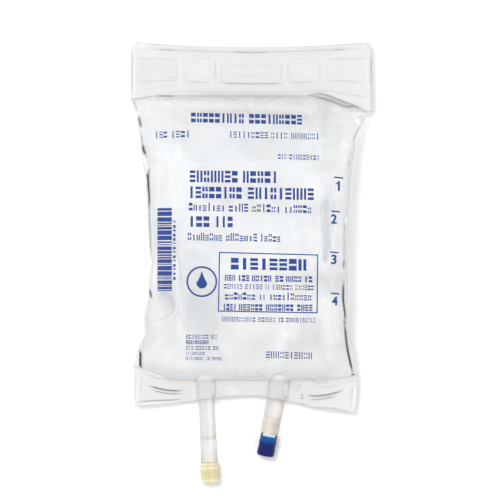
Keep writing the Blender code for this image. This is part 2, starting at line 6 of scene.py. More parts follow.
import bmesh
import bpy
import numpy as np
from mathutils import Matrix, Vector
from mathutils.bvhtree import BVHTree


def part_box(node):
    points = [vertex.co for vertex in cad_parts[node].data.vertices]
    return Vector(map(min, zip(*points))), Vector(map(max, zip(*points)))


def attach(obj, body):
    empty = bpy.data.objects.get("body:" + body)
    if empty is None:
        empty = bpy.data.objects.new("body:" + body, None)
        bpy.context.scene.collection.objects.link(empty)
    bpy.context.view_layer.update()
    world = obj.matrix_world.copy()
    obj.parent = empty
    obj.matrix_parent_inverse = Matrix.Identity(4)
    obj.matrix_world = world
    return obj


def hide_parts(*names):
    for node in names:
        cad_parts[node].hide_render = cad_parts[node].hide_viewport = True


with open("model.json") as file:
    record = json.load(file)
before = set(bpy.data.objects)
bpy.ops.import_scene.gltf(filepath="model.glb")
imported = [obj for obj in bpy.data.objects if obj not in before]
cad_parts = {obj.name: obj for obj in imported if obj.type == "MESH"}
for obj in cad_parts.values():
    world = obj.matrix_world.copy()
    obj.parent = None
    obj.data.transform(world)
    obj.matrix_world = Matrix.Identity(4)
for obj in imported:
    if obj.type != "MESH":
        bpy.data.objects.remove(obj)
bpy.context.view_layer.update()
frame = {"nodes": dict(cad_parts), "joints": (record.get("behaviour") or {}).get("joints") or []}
nodes = frame["nodes"]
print("frame loaded:", len(nodes), "nodes")

mm = 0.001
mergeWithin = {"skin": 0.002 * mm, "turned": 0.0005 * mm, "print": 0.001 * mm}

photo = {  # the photograph's own square, laid over the part as seen from above
    "middle": 250.0,  # pixels, both ways
    "pixel": 0.5532 * mm,
    "shiftX": -1.1 * mm,
    "shiftY": 7.05 * mm,
}


def fromPhoto(px, py):
    return ((px - photo["middle"]) * photo["pixel"] + photo["shiftX"],
            (photo["middle"] - py) * photo["pixel"] + photo["shiftY"])


def mix(low, high, share):
    return low + (high - low) * share


def ease(value):
    value = np.clip(value, 0, 1)
    return value * value * (3 - 2 * value)


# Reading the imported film: rays find its outline and its two faces
def treeOf(item):
    mesh = item.data
    return BVHTree.FromPolygons([v.co for v in mesh.vertices], [p.vertices for p in mesh.polygons])


filmTree = treeOf(nodes["film_bag"])
filmLow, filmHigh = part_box("film_bag")

scan = {"outside": 0.2, "above": 0.1, "below": -0.05, "lowest": 0.1 * mm, "pitch": 0.25 * mm,
        "steps": (170, 56), "reach": (0.2, 0.14)}  # the pairs are for rays along X and along Y


def outermost(axis, place, side):  # the film's last point towards a side, -1 or 1, at a place across from it
    best = None
    for step in range(scan["steps"][axis]):
        start = Vector((place, place, scan["lowest"] + step * scan["pitch"]))
        start[axis] = side * scan["outside"]
        aim = Vector((0, 0, 0))
        aim[axis] = -side
        hit = filmTree.ray_cast(start, aim, scan["reach"][axis])[0]
        if hit is not None and (best is None or side * hit[axis] > side * best[axis]):
            best = hit
    return best


def facesAt(x, y):  # heights of the front and back film under arrays of places
    front, back = np.full(x.shape, np.nan), np.full(x.shape, np.nan)
    for index in np.ndindex(x.shape):
        px, py = x[index], y[index]
        over = filmTree.ray_cast(Vector((px, py, scan["above"])), Vector((0, 0, -1)))[0]
        under = filmTree.ray_cast(Vector((px, py, scan["below"])), Vector((0, 0, 1)))[0]
        if over is not None:
            front[index] = over.z
        if under is not None:
            back[index] = under.z
    return front, back


def fillGaps(heights):  # a place that the rays missed takes its row's neighbours
    for row in heights:
        missed = np.isnan(row)
        if missed.any() and not missed.all():
            row[missed] = np.interp(np.flatnonzero(missed), np.flatnonzero(~missed), row[~missed])
    return heights


def smoothed(heights, passes, across=True):  # rounds off facets, with the border kept
    for _ in range(passes):
        inner = heights.copy()
        inner[1:-1] = (heights[:-2] + 2 * heights[1:-1] + heights[2:]) / 4
        if across:
            middle = inner.copy()
            inner[:, 1:-1] = (middle[:, :-2] + 2 * middle[:, 1:-1] + middle[:, 2:]) / 4
            inner[:, 0], inner[:, -1] = heights[:, 0], heights[:, -1]
        inner[0], inner[-1] = heights[0], heights[-1]
        heights = inner
    return heights


# Making meshes
def linked(name, data):
    made = bpy.data.objects.new(name, data)
    bpy.context.scene.collection.objects.link(made)
    return made


def meshFrom(name, bm, material):
    mesh = bpy.data.meshes.new(name)
    bm.to_mesh(mesh)
    bm.free()
    mesh.materials.append(material)
    return mesh


def outwards(bm):  # the faces of a closed shape point out
    bmesh.ops.recalc_face_normals(bm, faces=bm.faces)
    if bm.calc_volume(signed=True) < 0:
        bmesh.ops.reverse_faces(bm, faces=bm.faces)


def finishMesh(name, bm, material, place=None, body="bag", sharp=None):
    mesh = meshFrom(name, bm, material)
    if place is not None:
        mesh.transform(place)
    mesh.shade_smooth()
    if sharp:
        mesh.set_sharp_from_angle(angle=math.radians(sharp))
    piece = linked(name, mesh)
    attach(piece, body)
    return piece


borders = (np.s_[0], np.s_[-1], np.s_[:, 0], np.s_[:, -1])


def addSheet(bm, x, y, z, marks):  # a grid bent to arrays of places, one row of the arrays to a row of it
    rows, columns = x.shape
    made = bmesh.ops.create_grid(bm, x_segments=columns - 1, y_segments=rows - 1, size=0.5)["verts"]
    layers = [(bm.verts.layers.float[key], values) for key, values in marks.items()]
    for vert in made:
        column = round((vert.co.x + 0.5) * (columns - 1))
        row = round((vert.co.y + 0.5) * (rows - 1))
        vert.co = (x[row, column], y[row, column], z[row, column])
        for layer, values in layers:
            vert[layer] = values[row, column]


def closedSkin(name, x, y, front, back, material, marks=None):  # two sheets that meet all round their border
    middle = (front + back) / 2
    marks = marks or {}
    edgeMarks = {key: np.zeros(x.shape) for key in marks}
    for edge in borders:
        front[edge] = back[edge] = middle[edge]
        for key, values in marks.items():
            edgeMarks[key][edge] = values[edge]
    bm = bmesh.new()
    for key in marks:
        bm.verts.layers.float.new(key)
    addSheet(bm, x, y, front, marks)
    addSheet(bm, x, y, back, edgeMarks)
    bmesh.ops.remove_doubles(bm, verts=bm.verts, dist=mergeWithin["skin"])
    outwards(bm)
    return finishMesh(name, bm, material)


# Shader helpers
def newMaterial(name):
    material = bpy.data.materials.new(name)
    material.use_nodes = True
    tree = material.node_tree
    return material, tree, tree.nodes["Principled BSDF"]


def fill(tree, sockets, values):  # links what is a socket, and sets what is a number or a colour
    for key, value in values.items():
        if isinstance(value, bpy.types.NodeSocket):
            tree.links.new(value, sockets[key])
        else:
            sockets[key].default_value = value


def node(tree, kind, inputs=(), **settings):
    made = tree.nodes.new(kind)
    for key, value in settings.items():
        setattr(made, key, value)
    fill(tree, made.inputs, dict(inputs))
    return made


def dress(tree, shader, **values):  # the shader's own sockets, with _ for the space in a name
    fill(tree, shader.inputs, {key.replace("_", " "): value for key, value in values.items()})


def calc(tree, operation, *values):
    return node(tree, "ShaderNodeMath", enumerate(values), operation=operation).outputs[0]


def attribute(tree, name):
    return node(tree, "ShaderNodeAttribute", attribute_name=name).outputs["Fac"]


def span(tree, value, low, high, start=0.0, end=1.0):  # maps start..end of a value to low..high
    return node(tree, "ShaderNodeMapRange", {0: value, 1: start, 2: end, 3: low, 4: high}).outputs[0]


def blend(tree, mask, low, high, kind="MIX"):  # from one colour to another by a mask
    low, high = ((*colour, 1) if isinstance(colour, tuple) else colour for colour in (low, high))
    made = node(tree, "ShaderNodeMix", {"Factor": mask, 6: low, 7: high}, data_type="RGBA", blend_type=kind)
    return made.outputs[2]


def ramp(tree, value, stops):  # colours or greys at places along a value
    low, high = stops[0][0], stops[-1][0]
    made = node(tree, "ShaderNodeValToRGB", {"Fac": span(tree, value, 0, 1, low, high)})
    elements = made.color_ramp.elements
    elements.remove(elements[1])
    for index, (place, colour) in enumerate(stops):
        share = (place - low) / (high - low)
        element = elements.new(share) if index else elements[0]
        element.position = share
        element.color = (*(colour if isinstance(colour, tuple) else 3 * (colour,)), 1)
    return made.outputs["Color"]


def openShadows(tree, shader, most=1.0):  # lets light through to what lies under clear pieces
    light = node(tree, "ShaderNodeLightPath")
    clear = node(tree, "ShaderNodeBsdfTransparent")
    share = calc(tree, "MULTIPLY", light.outputs["Is Shadow Ray"], most)
    both = node(tree, "ShaderNodeMixShader", {0: share, 1: shader.outputs[0], 2: clear.outputs[0]})
    tree.links.new(both.outputs[0], tree.nodes["Material Output"].inputs["Surface"])


grainReach = 0.05  # height of the bumps, as a share of the grain's size


def buildGrainGroup():  # fine unevenness of soft plastic: a mask and a normal
    group = bpy.data.node_groups.new("softPlasticGrain", "ShaderNodeTree")
    sockets = group.interface
    for name in ("Scale", "Strength", "Detail"):
        sockets.new_socket(name, in_out="INPUT", socket_type="NodeSocketFloat")
    sockets.new_socket("Normal", in_out="INPUT", socket_type="NodeSocketVector").hide_value = True
    sockets.new_socket("Mask", in_out="OUTPUT", socket_type="NodeSocketFloat")
    sockets.new_socket("Normal", in_out="OUTPUT", socket_type="NodeSocketVector")
    given = group.nodes.new("NodeGroupInput").outputs
    told = group.nodes.new("NodeGroupOutput").inputs
    where = node(group, "ShaderNodeTexCoord").outputs["Object"]
    noise = node(group, "ShaderNodeTexNoise", {"Vector": where, "Scale": given["Scale"],
                                               "Detail": given["Detail"]}).outputs["Fac"]
    raised = node(group, "ShaderNodeBump", {"Height": noise, "Strength": given["Strength"],
                                            "Distance": calc(group, "DIVIDE", grainReach, given["Scale"]),
                                            "Normal": given["Normal"]}).outputs["Normal"]
    fill(group, told, {"Mask": noise, "Normal": raised})
    return group


grainGroup = buildGrainGroup()


def grain(tree, scale, strength, detail=2.0):
    inputs = {"Scale": scale, "Strength": strength, "Detail": detail}
    return node(tree, "ShaderNodeGroup", inputs, node_tree=grainGroup)


filmLook = {
    "colourA": (0.808, 0.817, 0.829), "colourB": (0.872, 0.878, 0.885),
    # the colours after the two base ones paint light and shade: dark is painted shade along lines and folds,
    # light is painted highlight and painted light, warm is painted warm light from the port tubes, and the
    # grey after them is broad painted shade over hollows, with the alpha it gives
    "dark": (0.006, 0.014, 0.02), "light": (1.0, 1.0, 1.0), "warm": (0.95, 0.74, 0.62),
    "paintedShading": (0.55, 0.57, 0.60), "paintedShadingAlpha": 0.85,
    "alpha": (0.34, 0.85), "grazing": 0.32, "roughness": 0.27, "ior": 1.5,
    "wave": (30.0, 0.3, 0.5), "ripple": (240.0, 0.12, 1.0),
}
weldLook = {
    # the welds keep these painted colours, with a less deep dark for their painted shade
    **filmLook, "colourA": (0.85, 0.85, 0.85), "colourB": (0.89, 0.89, 0.89), "dark": (0.05, 0.05, 0.05),
    "alpha": (0.55, 0.72),
}
fluidLook = {"colour": (0.965, 0.98, 0.99, 1), "ior": 1.33}


def makeFilmMaterial(name, look):
    material, tree, shader = newMaterial(name)
    fine, broad = grain(tree, *look["ripple"]), grain(tree, *look["wave"])
    tree.links.new(broad.outputs["Normal"], fine.inputs["Normal"])
    lineShadeAndHighlight, warmLightAmount, paintedShading = (attribute(tree, key) for key in ("paintedShadeAndHighlight", "paintedWarmLight", "paintedShadingLayer"))
    colour = blend(tree, broad.outputs["Mask"], look["colourA"], look["colourB"])
    # the attributes paint light and shade into the colour, in turn: broad painted shade, broad painted light,
    # painted warm light, then painted highlights and painted shade along lines and folds
    for mask, goal in ((span(tree, paintedShading, 0, 1), "paintedShading"), (span(tree, paintedShading, 0, 1, 0, -1), "light"),
                       (warmLightAmount, "warm"), (span(tree, lineShadeAndHighlight, 0, 1, 0, -1), "light"),
                       (span(tree, lineShadeAndHighlight, 0, 1), "dark")):
        colour = blend(tree, mask, colour, look[goal])
    edge = node(tree, "ShaderNodeLayerWeight", {"Blend": look["grazing"]}).outputs["Facing"]
    bare = span(tree, edge, *look["alpha"])
    # broad painted shading, and the painted marks along lines, make the film more opaque where they lie
    alphaWithPaintedShading = span(tree, calc(tree, "ABSOLUTE", paintedShading), bare, look["paintedShadingAlpha"])
    dress(tree, shader, Base_Color=colour, Alpha=calc(tree, "MAXIMUM", alphaWithPaintedShading, calc(tree, "ABSOLUTE", lineShadeAndHighlight)),
          Normal=fine.outputs["Normal"], Roughness=look["roughness"], IOR=look["ior"])
    return material


def makeFluidMaterial():
    material, tree, shader = newMaterial("clearFluid")
    dress(tree, shader, Base_Color=fluidLook["colour"], Roughness=0.0, Metallic=0.0, Transmission_Weight=1.0,
          IOR=fluidLook["ior"])
    openShadows(tree, shader)
    return material


filmMaterial = makeFilmMaterial("clearFilm", filmLook)
weldMaterial = makeFilmMaterial("weldedFilm", weldLook)
fluidMaterial = makeFluidMaterial()


# Folds and embossed lines, pressed into the sheets along lines traced over the photograph, with painted shade
# and painted highlights laid along them
strokeEnds = {"share": 0.2, "least": 0.35}  # a stroke fades towards its ends


def strokeField(x, y, strokes):  # how deep the strokes press each place of a sheet, and how much painted shade (above zero) and painted highlight (below zero) they lay on it
    depth, shade = np.zeros(x.shape), np.zeros(x.shape)
    for points, width, deep, dark in strokes:
        spots = np.array([fromPhoto(*point) for point in points])
        lengths = np.hypot(*np.diff(spots, axis=0).T)
        begins = np.concatenate([[0], np.cumsum(lengths)])
        nearest, along = np.full(x.shape, np.inf), np.zeros(x.shape)
        for start, stop, begin, length in zip(spots, spots[1:], begins, lengths):
            step = (stop - start) / length
            run = np.clip((x - start[0]) * step[0] + (y - start[1]) * step[1], 0, length)
            away = np.hypot(x - start[0] - run * step[0], y - start[1] - run * step[1])
            along = np.where(away < nearest, (begin + run) / begins[-1], along)
            nearest = np.minimum(away, nearest)
        taper = mix(strokeEnds["least"], 1.0, ease(np.minimum(along, 1 - along) / strokeEnds["share"]))
        near = taper * np.exp(-(nearest / (width * photo["pixel"])) ** 2)
        depth += deep * mm * near
        shade += dark * near
    return depth, np.clip(shade, -1, 1)


# The filled pouch
pouch = {
    "cornerRise": 2.8 * mm, "hangerHeight": 23.0 * mm, "length": 162.0 * mm,
    "leftShoulder": (5.0 * mm, 0.72, 0.98), "rightShoulder": (12.0 * mm, 0.48, 0.94),  # rise, from, to
    "leftFlare": (7.5 * mm, 0.6, 1.0), "rightFlare": (3.5 * mm, 0.6, 1.0),
    "seamDrop": 3.6 * mm, "leftSeam": (2.0 * mm, 0.80, 1.0), "rightSeam": (8.3 * mm, 0.49, 0.97),
    "columns": 219, "rows": 221, "endCrowding": 0.45,
    "facetPasses": 12, "sideTries": 4, "sidePasses": 30, "shiftPasses": 4,
    "sideTaper": 0.07, "endTaper": 0.02,  # where folds and pleats fade out
}
halfWidth = filmHigh.x
sealY = filmHigh.y - pouch["cornerRise"] - pouch["hangerHeight"]
lowerSealY = sealY - pouch["length"]


def endRise(x, left, right):
    share = np.asarray(x) / halfWidth
    return np.where(share < 0, left[0] * ease((-share - left[1]) / (left[2] - left[1])),
                    right[0] * ease((share - right[1]) / (right[2] - right[1])))


def packedSeal(x):  # the seam between hanger band and pouch, as the frame has it
    return sealY - endRise(x, pouch["leftShoulder"], pouch["rightShoulder"])


def upperSeal(x):  # the seam's lower border, where the two films part
    return sealY - pouch["seamDrop"] - endRise(x, pouch["leftSeam"], pouch["rightSeam"])


def lowerSeal(x):
    return lowerSealY + endRise(x, pouch["leftFlare"], pouch["rightFlare"])


sideShifts = {  # photo rows, and how many pixels out the film is drawn there
    -1: [(97, 2.8), (104, 1.4), (114, 0.6), (132, 0), (145, 1), (159, 4), (184, 3.6), (200, 1.8), (243, 1.6),
         (256, 0.6), (262, -1.0), (269, 0.4), (279, 1.8), (290, 0.2), (297, 0), (306, 1.0), (318, 1.8),
         (328, -1.0), (334, -3.0), (341, -1.4), (352, 0), (369, 2.4), (378, 2)],
    1: [(97, 1.2), (106, 0), (112, -1.5), (118, -3.5), (126, -5), (134, -6), (141, -6.4), (146, -3.4),
        (152, -1), (158, 0.9), (163, 1.6), (172, 2.3), (181, 2.3), (190, 1.5), (215, 0), (380, 0)],
}


def pouchSides(shares):
    sides = {-1: [], 1: []}
    for share in shares:
        for side in sides:
            x = side * halfWidth
            for _ in range(pouch["sideTries"]):
                spot = outermost(0, mix(float(upperSeal(x)), float(lowerSeal(x)), share), side)
                x = spot.x
            sides[side].append((spot.x, spot.z))
    for side in sides:
        sides[side] = spots = smoothed(np.array(sides[side]), pouch["sidePasses"], across=False)
        y = mix(upperSeal(spots[:, 0]), lowerSeal(spots[:, 0]), shares)
        row = photo["middle"] - (y - photo["shiftY"]) / photo["pixel"]
        shift = np.interp(row, *zip(*sideShifts[side]))[:, None]
        shift = smoothed(shift, pouch["shiftPasses"], across=False)[:, 0]
        spots[:, 0] += side * shift * photo["pixel"]
    return sides[-1], sides[1]


def crowded(count):  # shares from 0 to 1, closer together towards both ends
    return (1 - np.cos(np.pi * np.linspace(0, 1, count))) / 2


def pouchArrays():
    shares = mix(np.linspace(0, 1, pouch["rows"]), crowded(pouch["rows"]), pouch["endCrowding"])
    left, right = pouchSides(shares)
    turn = crowded(pouch["columns"])
    x = left[:, :1] + (right[:, :1] - left[:, :1]) * turn[None, :]
    y = upperSeal(x) + (lowerSeal(x) - upperSeal(x)) * shares[:, None]
    packed = packedSeal(x) + (lowerSeal(x) - packedSeal(x)) * shares[:, None]
    front, back = (fillGaps(heights) for heights in facesAt(x, packed))
    front[:, 0] = back[:, 0] = left[:, 1]
    front[:, -1] = back[:, -1] = right[:, 1]
    return x, y, smoothed(front, pouch["facetPasses"]), smoothed(back, pouch["facetPasses"]), turn, shares


sideLines = [  # photo pixels of the points, width in pixels, depth in mm, painted shade (below zero, painted highlight)
    ([(132.2, 99), (134.8, 104), (137.6, 111)], 1.0, 0.2, 0.6),
    ([(138.6, 116), (139.6, 121), (140.8, 127)], 1.2, 0.3, 1.0),
    ([(141, 131), (141.8, 138)], 0.7, 0.2, 0.4),
    ([(141.6, 136), (142.4, 145)], 0.7, 0.2, 0.6),
    ([(142.8, 145), (143.4, 149.5), (145.6, 154.6)], 1.5, 0.4, 1.3),
    ([(146.4, 156), (147.6, 162)], 0.7, 0.2, 0.35),
    ([(147.2, 158.4), (147.6, 161)], 1.0, -0.2, -0.8),
    ([(144.3, 163), (145.2, 170), (147, 177)], 0.8, 0.2, 0.45),
    ([(149.0, 169), (147.8, 176), (148.2, 184), (148.9, 193), (149.3, 200), (149.2, 208)], 1.35, 0.4, 1.15),
    ([(149.2, 204), (149.4, 222), (150.2, 240), (150.6, 256)], 1.0, 0.3, 0.62),
    ([(149.3, 289.5), (150.4, 293), (151.6, 297.5)], 1.3, 0.3, 1.2),
    ([(139.9, 350), (140.2, 357), (140.0, 363), (140.8, 369)], 1.45, 0.4, 1.2),
    ([(136, 367), (139, 369.5), (146, 371.5)], 0.8, 0.2, 0.55),
    ([(343.4, 281), (343.1, 290), (343.0, 300), (344.2, 308), (345.2, 316), (344.6, 323)], 1.35, 0.4, 1.15),
    ([(344.2, 321), (345.3, 331), (346.2, 340), (347.6, 350), (349.6, 359), (351.2, 366), (353.4, 375)],
     1.2, 0.4, 1.2),
    ([(351, 375), (355, 374.6)], 0.8, 0.1, 0.8),
    ([(344.6, 260), (343.3, 264), (343.7, 268.5)], 0.9, 0.2, 0.8),
    ([(349, 160), (348.6, 167)], 1.2, 0.2, 0.25),
    ([(345.0, 225), (344.8, 232)], 0.9, 0.2, 0.3),
    ([(346.5, 217), (346.2, 224)], 1.2, -0.2, -1.0),
    ([(347.0, 284), (347.6, 305), (348.8, 325), (350.6, 345), (353.6, 364)], 1.4, -0.2, -0.8),
]
# creases at the shoulders and along the upper seam, with painted shade and painted glints
shoulderLines = [
    ([(309, 95), (316, 93.6), (323, 94), (331, 96.4), (340, 100.2), (350, 104.2), (358, 106.9),
      (363.5, 109.2), (366.5, 112)], 1.2, 0.5, 0.55),
    ([(311, 95.9), (320, 97.8), (328, 100), (336, 102.8), (340, 105.2), (346, 106.6), (353, 106.3),
      (358, 107)], 1.0, 0.3, 0.42),
    ([(316, 95.2), (328, 98), (345, 104.2), (356, 106.6)], 2.8, 0.5, 0.22),
    ([(355, 125), (357.2, 127.2)], 1.1, 0.2, 0.6),
    ([(358.6, 119.6), (360.4, 117), (362.6, 115.2)], 1.2, 0.2, 0.5),
    ([(356.2, 118), (358.4, 123.5)], 1.9, -0.3, -0.8),
    ([(365, 98), (369, 103), (368, 112)], 1.6, -0.2, -0.4),
    ([(157, 95.6), (165, 95.8), (174, 96)], 1.0, 0.3, 0.5),
    ([(131, 98.6), (136, 99), (143, 98.2), (150, 96.4)], 0.8, 0.2, 0.3),
    ([(172, 95.8), (200, 96), (228, 96.2), (262, 96.2), (306, 96.2)], 0.8, 0.2, 0.18),
    ([(222, 98), (228, 98.4), (237, 99.6)], 1.2, 0.3, 0.22),
    ([(255, 98.4), (265, 97.6)], 1.0, 0.2, 0.26),
    ([(268, 98.2), (272, 99.6), (281, 97)], 0.9, 0.2, 0.2),
]
# soft folds, with painted shade in their hollows and painted light on their lit sides
softFolds = [
    ([(326, 99), (327, 112), (326, 126), (324, 140)], 5.5, 0.5, 0.10),
    ([(321, 97), (321, 118), (319.5, 138)], 1.0, 0.2, 0.05),
    ([(318, 160), (322, 172), (327, 186), (330, 196)], 2.6, 0.4, 0.05),
    ([(327, 196), (325, 212), (326.5, 232), (328, 250), (333, 266), (333, 280)], 4.6, 0.6, 0.02),
    ([(330, 188), (324, 203), (320.6, 212), (323, 232), (326, 250)], 1.0, 0.2, 0.10),
    ([(336.5, 192), (337.5, 215), (338, 238)], 3.4, -0.4, -0.45),
    ([(318, 222), (320, 240), (322, 262)], 2.6, -0.3, -0.16),
    ([(367, 112), (360.8, 124), (353.8, 138.4), (352.8, 147)], 1.1, 0.1, 0.45),
    ([(340, 262), (340.4, 284), (338.6, 300)], 1.6, -0.2, -0.15),
    ([(330, 300), (334, 330), (342, 356)], 2.4, 0.4, 0.05),
    ([(318, 330), (322, 352), (332, 370)], 3.0, 0.4, 0.05),
    ([(150, 101), (166, 112), (180, 120), (196, 128)], 6.0, 0.5, 0.06),
    ([(160, 102), (172, 108), (184, 111)], 2.0, -0.3, -0.12),
    ([(186, 116), (187.5, 126)], 1.6, 0.2, 0.05),
    ([(163, 150), (166, 170), (164, 196)], 4.0, 0.4, 0.04),
    ([(160, 175), (161, 200)], 2.0, -0.3, -0.12),
    ([(160, 293.5), (167, 294.5), (172, 299), (174.4, 305), (173.6, 312), (168, 317), (160, 319.6),
      (149, 322.6)], 1.5, 0.5, 0.13),
    ([(167, 299), (170, 306)], 3.6, 0.4, 0.04),
    ([(171, 292.6), (176.6, 300), (177.6, 309), (173, 318), (162, 323)], 1.3, -0.3, -0.35),
    ([(146, 310), (148, 322), (146, 334), (142, 346)], 1.4, 0.3, 0.08),
    ([(181, 294), (183.4, 320), (183, 350)], 1.8, -0.3, -0.12),
    ([(187, 300), (190, 330)], 4.5, 0.3, 0.05),
    ([(150, 366), (170, 372), (186, 374)], 2.2, 0.4, 0.05),
    ([(228, 376), (246, 377.4), (262, 377), (268, 375)], 1.2, 0.3, 0.12),
    ([(256, 370.5), (262, 375), (268, 382)], 1.1, 0.2, 0.14),
    ([(274, 375), (282, 373.6), (287, 378)], 1.0, 0.2, 0.12),
    ([(277, 377), (281, 379)], 1.8, -0.3, -0.5),
    ([(303, 378), (309, 378.6), (314, 381)], 1.1, 0.2, 0.14),
    ([(270, 352), (266, 364), (262, 374)], 2.4, 0.4, 0.05),
    ([(240, 360), (236, 374)], 3.0, 0.3, 0.04),
    ([(213, 342), (225, 356), (232, 372)], 3.0, 0.3, 0.04),
    ([(286, 330), (282, 350), (284, 370)], 2.4, -0.3, -0.10),
    ([(240, 98), (246, 106), (248, 112)], 3.0, 0.3, 0.05),
    ([(296, 98), (304, 108), (306, 118)], 3.0, 0.3, 0.06),
]
paintedShadingPatches = [  # soft patches of painted shading: positive values paint grey shade over hollows, negative values paint light where the film looks white
    ([(150, 360), (200, 366), (240, 366), (300, 365), (344, 360)], 14, 0.0, -0.66),
    ([(186, 379), (240, 378.6), (300, 378)], 5, 0.0, -0.30),
    ([(148, 105), (250, 106), (354, 112)], 5, 0.0, -0.30),
    ([(326, 290), (334, 350)], 13, 0.0, -0.66),
    ([(226, 328), (306, 328)], 13, 0.0, -0.38),
    ([(152, 256), (158, 330)], 7, 0.0, -0.40),
    ([(304, 226), (309, 236), (311, 250)], 12, 0.0, -0.24),
    ([(345, 128), (343, 250)], 9, 0.0, -0.42),
    ([(289, 328), (273, 362)], 8, 0.0, -0.55),
    ([(168, 158), (175, 212)], 11, 0.0, -0.14),
    ([(177, 250), (178, 290), (181, 340)], 5, 0.0, -0.40),
    ([(150, 344), (172, 362)], 11, 0.0, -0.34),
    ([(174, 116), (182, 150)], 11, 0.0, 0.27),
    ([(196, 142), (300, 146)], 16, 0.0, 0.36),
    ([(200, 150), (202, 168)], 10, 0.0, 0.34),
    ([(240, 148), (247, 164)], 11, 0.0, 0.26),
    ([(193, 240), (193, 332)], 15, 0.0, 0.60),
    ([(272, 210), (272, 252)], 10, 0.0, 0.20),
    ([(325, 104), (325, 138)], 8, 0.0, 0.50),
    ([(321, 146), (324, 174)], 4.6, 0.0, 0.34),
    ([(331, 192), (326.6, 204), (325.6, 214), (327.4, 230), (327.6, 244), (325.6, 257)], 5.0, 0.0, 0.90),
    ([(324.4, 253), (325.4, 262)], 3.4, 0.0, 0.80),
    ([(333, 268), (335, 284), (337, 300)], 8.5, 0.0, 0.42),
    ([(165, 293), (172, 298), (174.6, 306), (171, 313)], 4.8, 0.0, 0.66),
    ([(202, 296), (202, 318)], 14, 0.0, 0.20),
    ([(226, 108), (246, 116)], 9, 0.0, 0.09),
]
bossLines = [  # round the sockets of the two ports, on the pouch and on the seal band: painted shade on their outlines and painted light over their shaded walls
    ([(194.4, 399), (194.2, 386), (195.6, 380), (199, 375.8), (204, 374)], 0.9, 0.0, 0.30),
    ([(204, 374), (209, 375.6), (212.6, 379.6), (214.2, 386), (214.8, 399)], 0.9, 0.0, 0.10),
    ([(268.4, 400), (268.6, 388), (270, 380), (275, 375), (281, 374)], 0.9, 0.0, 0.26),
    ([(281, 374), (286, 377.4), (288.6, 383), (289, 399)], 0.9, 0.0, 0.10),
    ([(198.6, 382), (200.4, 378.4), (204.4, 376.4), (208.4, 378.4), (210.4, 382)], 3.2, 0.0, -0.16),
    ([(201, 384), (201, 398)], 3.4, 0.0, -0.42),
    ([(206, 384), (206.4, 397)], 5, 0.0, -0.36),
    ([(212.4, 380), (213.4, 386), (213.2, 397)], 3.2, 0.0, -0.80),
    ([(274, 384), (273, 398)], 4.0, 0.0, -0.42),
    ([(281, 384), (280, 398)], 5, 0.0, -0.50),
    ([(287, 381), (287.4, 386), (286.6, 398)], 3.2, 0.0, -0.80),
    ([(280, 376.4), (282.4, 377.8)], 1.4, 0.0, -0.22),
    ([(269.2, 384), (269, 398)], 0.9, 0.0, -0.4),
]


gathers = {  # small pleats that run out from the two seals, and from the drawn-in sides
    "seal": {"pitch": 6.2 * mm, "reach": 9.0 * mm, "height": 0.28 * mm, "start": 2.0 * mm,
             "waverPitch": 11 * mm, "slant": 8 * mm},
    "side": {"pitch": 9.0 * mm, "reach": 7.0 * mm, "height": 0.35 * mm, "start": 1.0 * mm,
             "waverPitch": 13 * mm, "slant": 6 * mm},
    "waver": 2.4,
}


def pleats(along, away, look):  # their height, by the place along an edge and the distance from it
    waver = gathers["waver"] * np.sin(along / look["waverPitch"])
    wave = np.sin(2 * np.pi * along / look["pitch"] + waver + away / look["slant"])
    return look["height"] * wave * np.exp(-away / look["reach"]) * ease(away / look["start"])


def gatherHeight(x, y):
    seal, side = gathers["seal"], gathers["side"]
    return (pleats(x, upperSeal(x) - y, seal) + pleats(x, y - lowerSeal(x), seal)
            + pleats(y, x - x[:, :1], side) + pleats(y, x[:, -1:] - x, side))


def makePouch():
    x, y, front, back, turn, shares = pouchArrays()
    across, down = (ease(np.minimum(steps, 1 - steps) / taper)
                    for steps, taper in ((turn, pouch["sideTaper"]), (shares, pouch["endTaper"])))
    deep, shade = strokeField(x, y, sideLines + shoulderLines + softFolds + bossLines)
    front = front + across[None, :] * down[:, None] * (gatherHeight(x, y) - deep)
    fluidInside(x, y, front, back)
    paintedShading = strokeField(x, y, paintedShadingPatches)[1]
    film = closedSkin("pouchFilm", x, y, front, back, filmMaterial, {"paintedShadeAndHighlight": shade, "paintedShadingLayer": paintedShading})
    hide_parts("film_bag")
    return film


fluid = {"inside": 0.55 * mm, "sideInside": 0.7 * mm, "thinnest": 0.05 * mm, "skip": 2, "endRows": 5,
         "around": 2, "passes": 3, "steepest": 0.5}


def lowest(heights, reach):  # the least height in a square round each place
    for axis in (0, 1):
        for shift in range(1, reach + 1):
            fore, aft = np.roll(heights, shift, axis), np.roll(heights, -shift, axis)
            heights = np.minimum(heights, np.minimum(fore, aft))
    return heights


def gentled(heights, x, y, steepest):  # raised until no place is steeper than this beside its neighbours
    for places in (x.T, y):
        heights = heights.T.copy()
        rise = steepest * np.abs(np.diff(places, axis=0))
        for index in range(1, len(heights)):
            heights[index] = np.maximum(heights[index], heights[index - 1] - rise[index - 1])
        for index in range(len(heights) - 2, -1, -1):
            heights[index] = np.maximum(heights[index], heights[index + 1] - rise[index])
    return heights


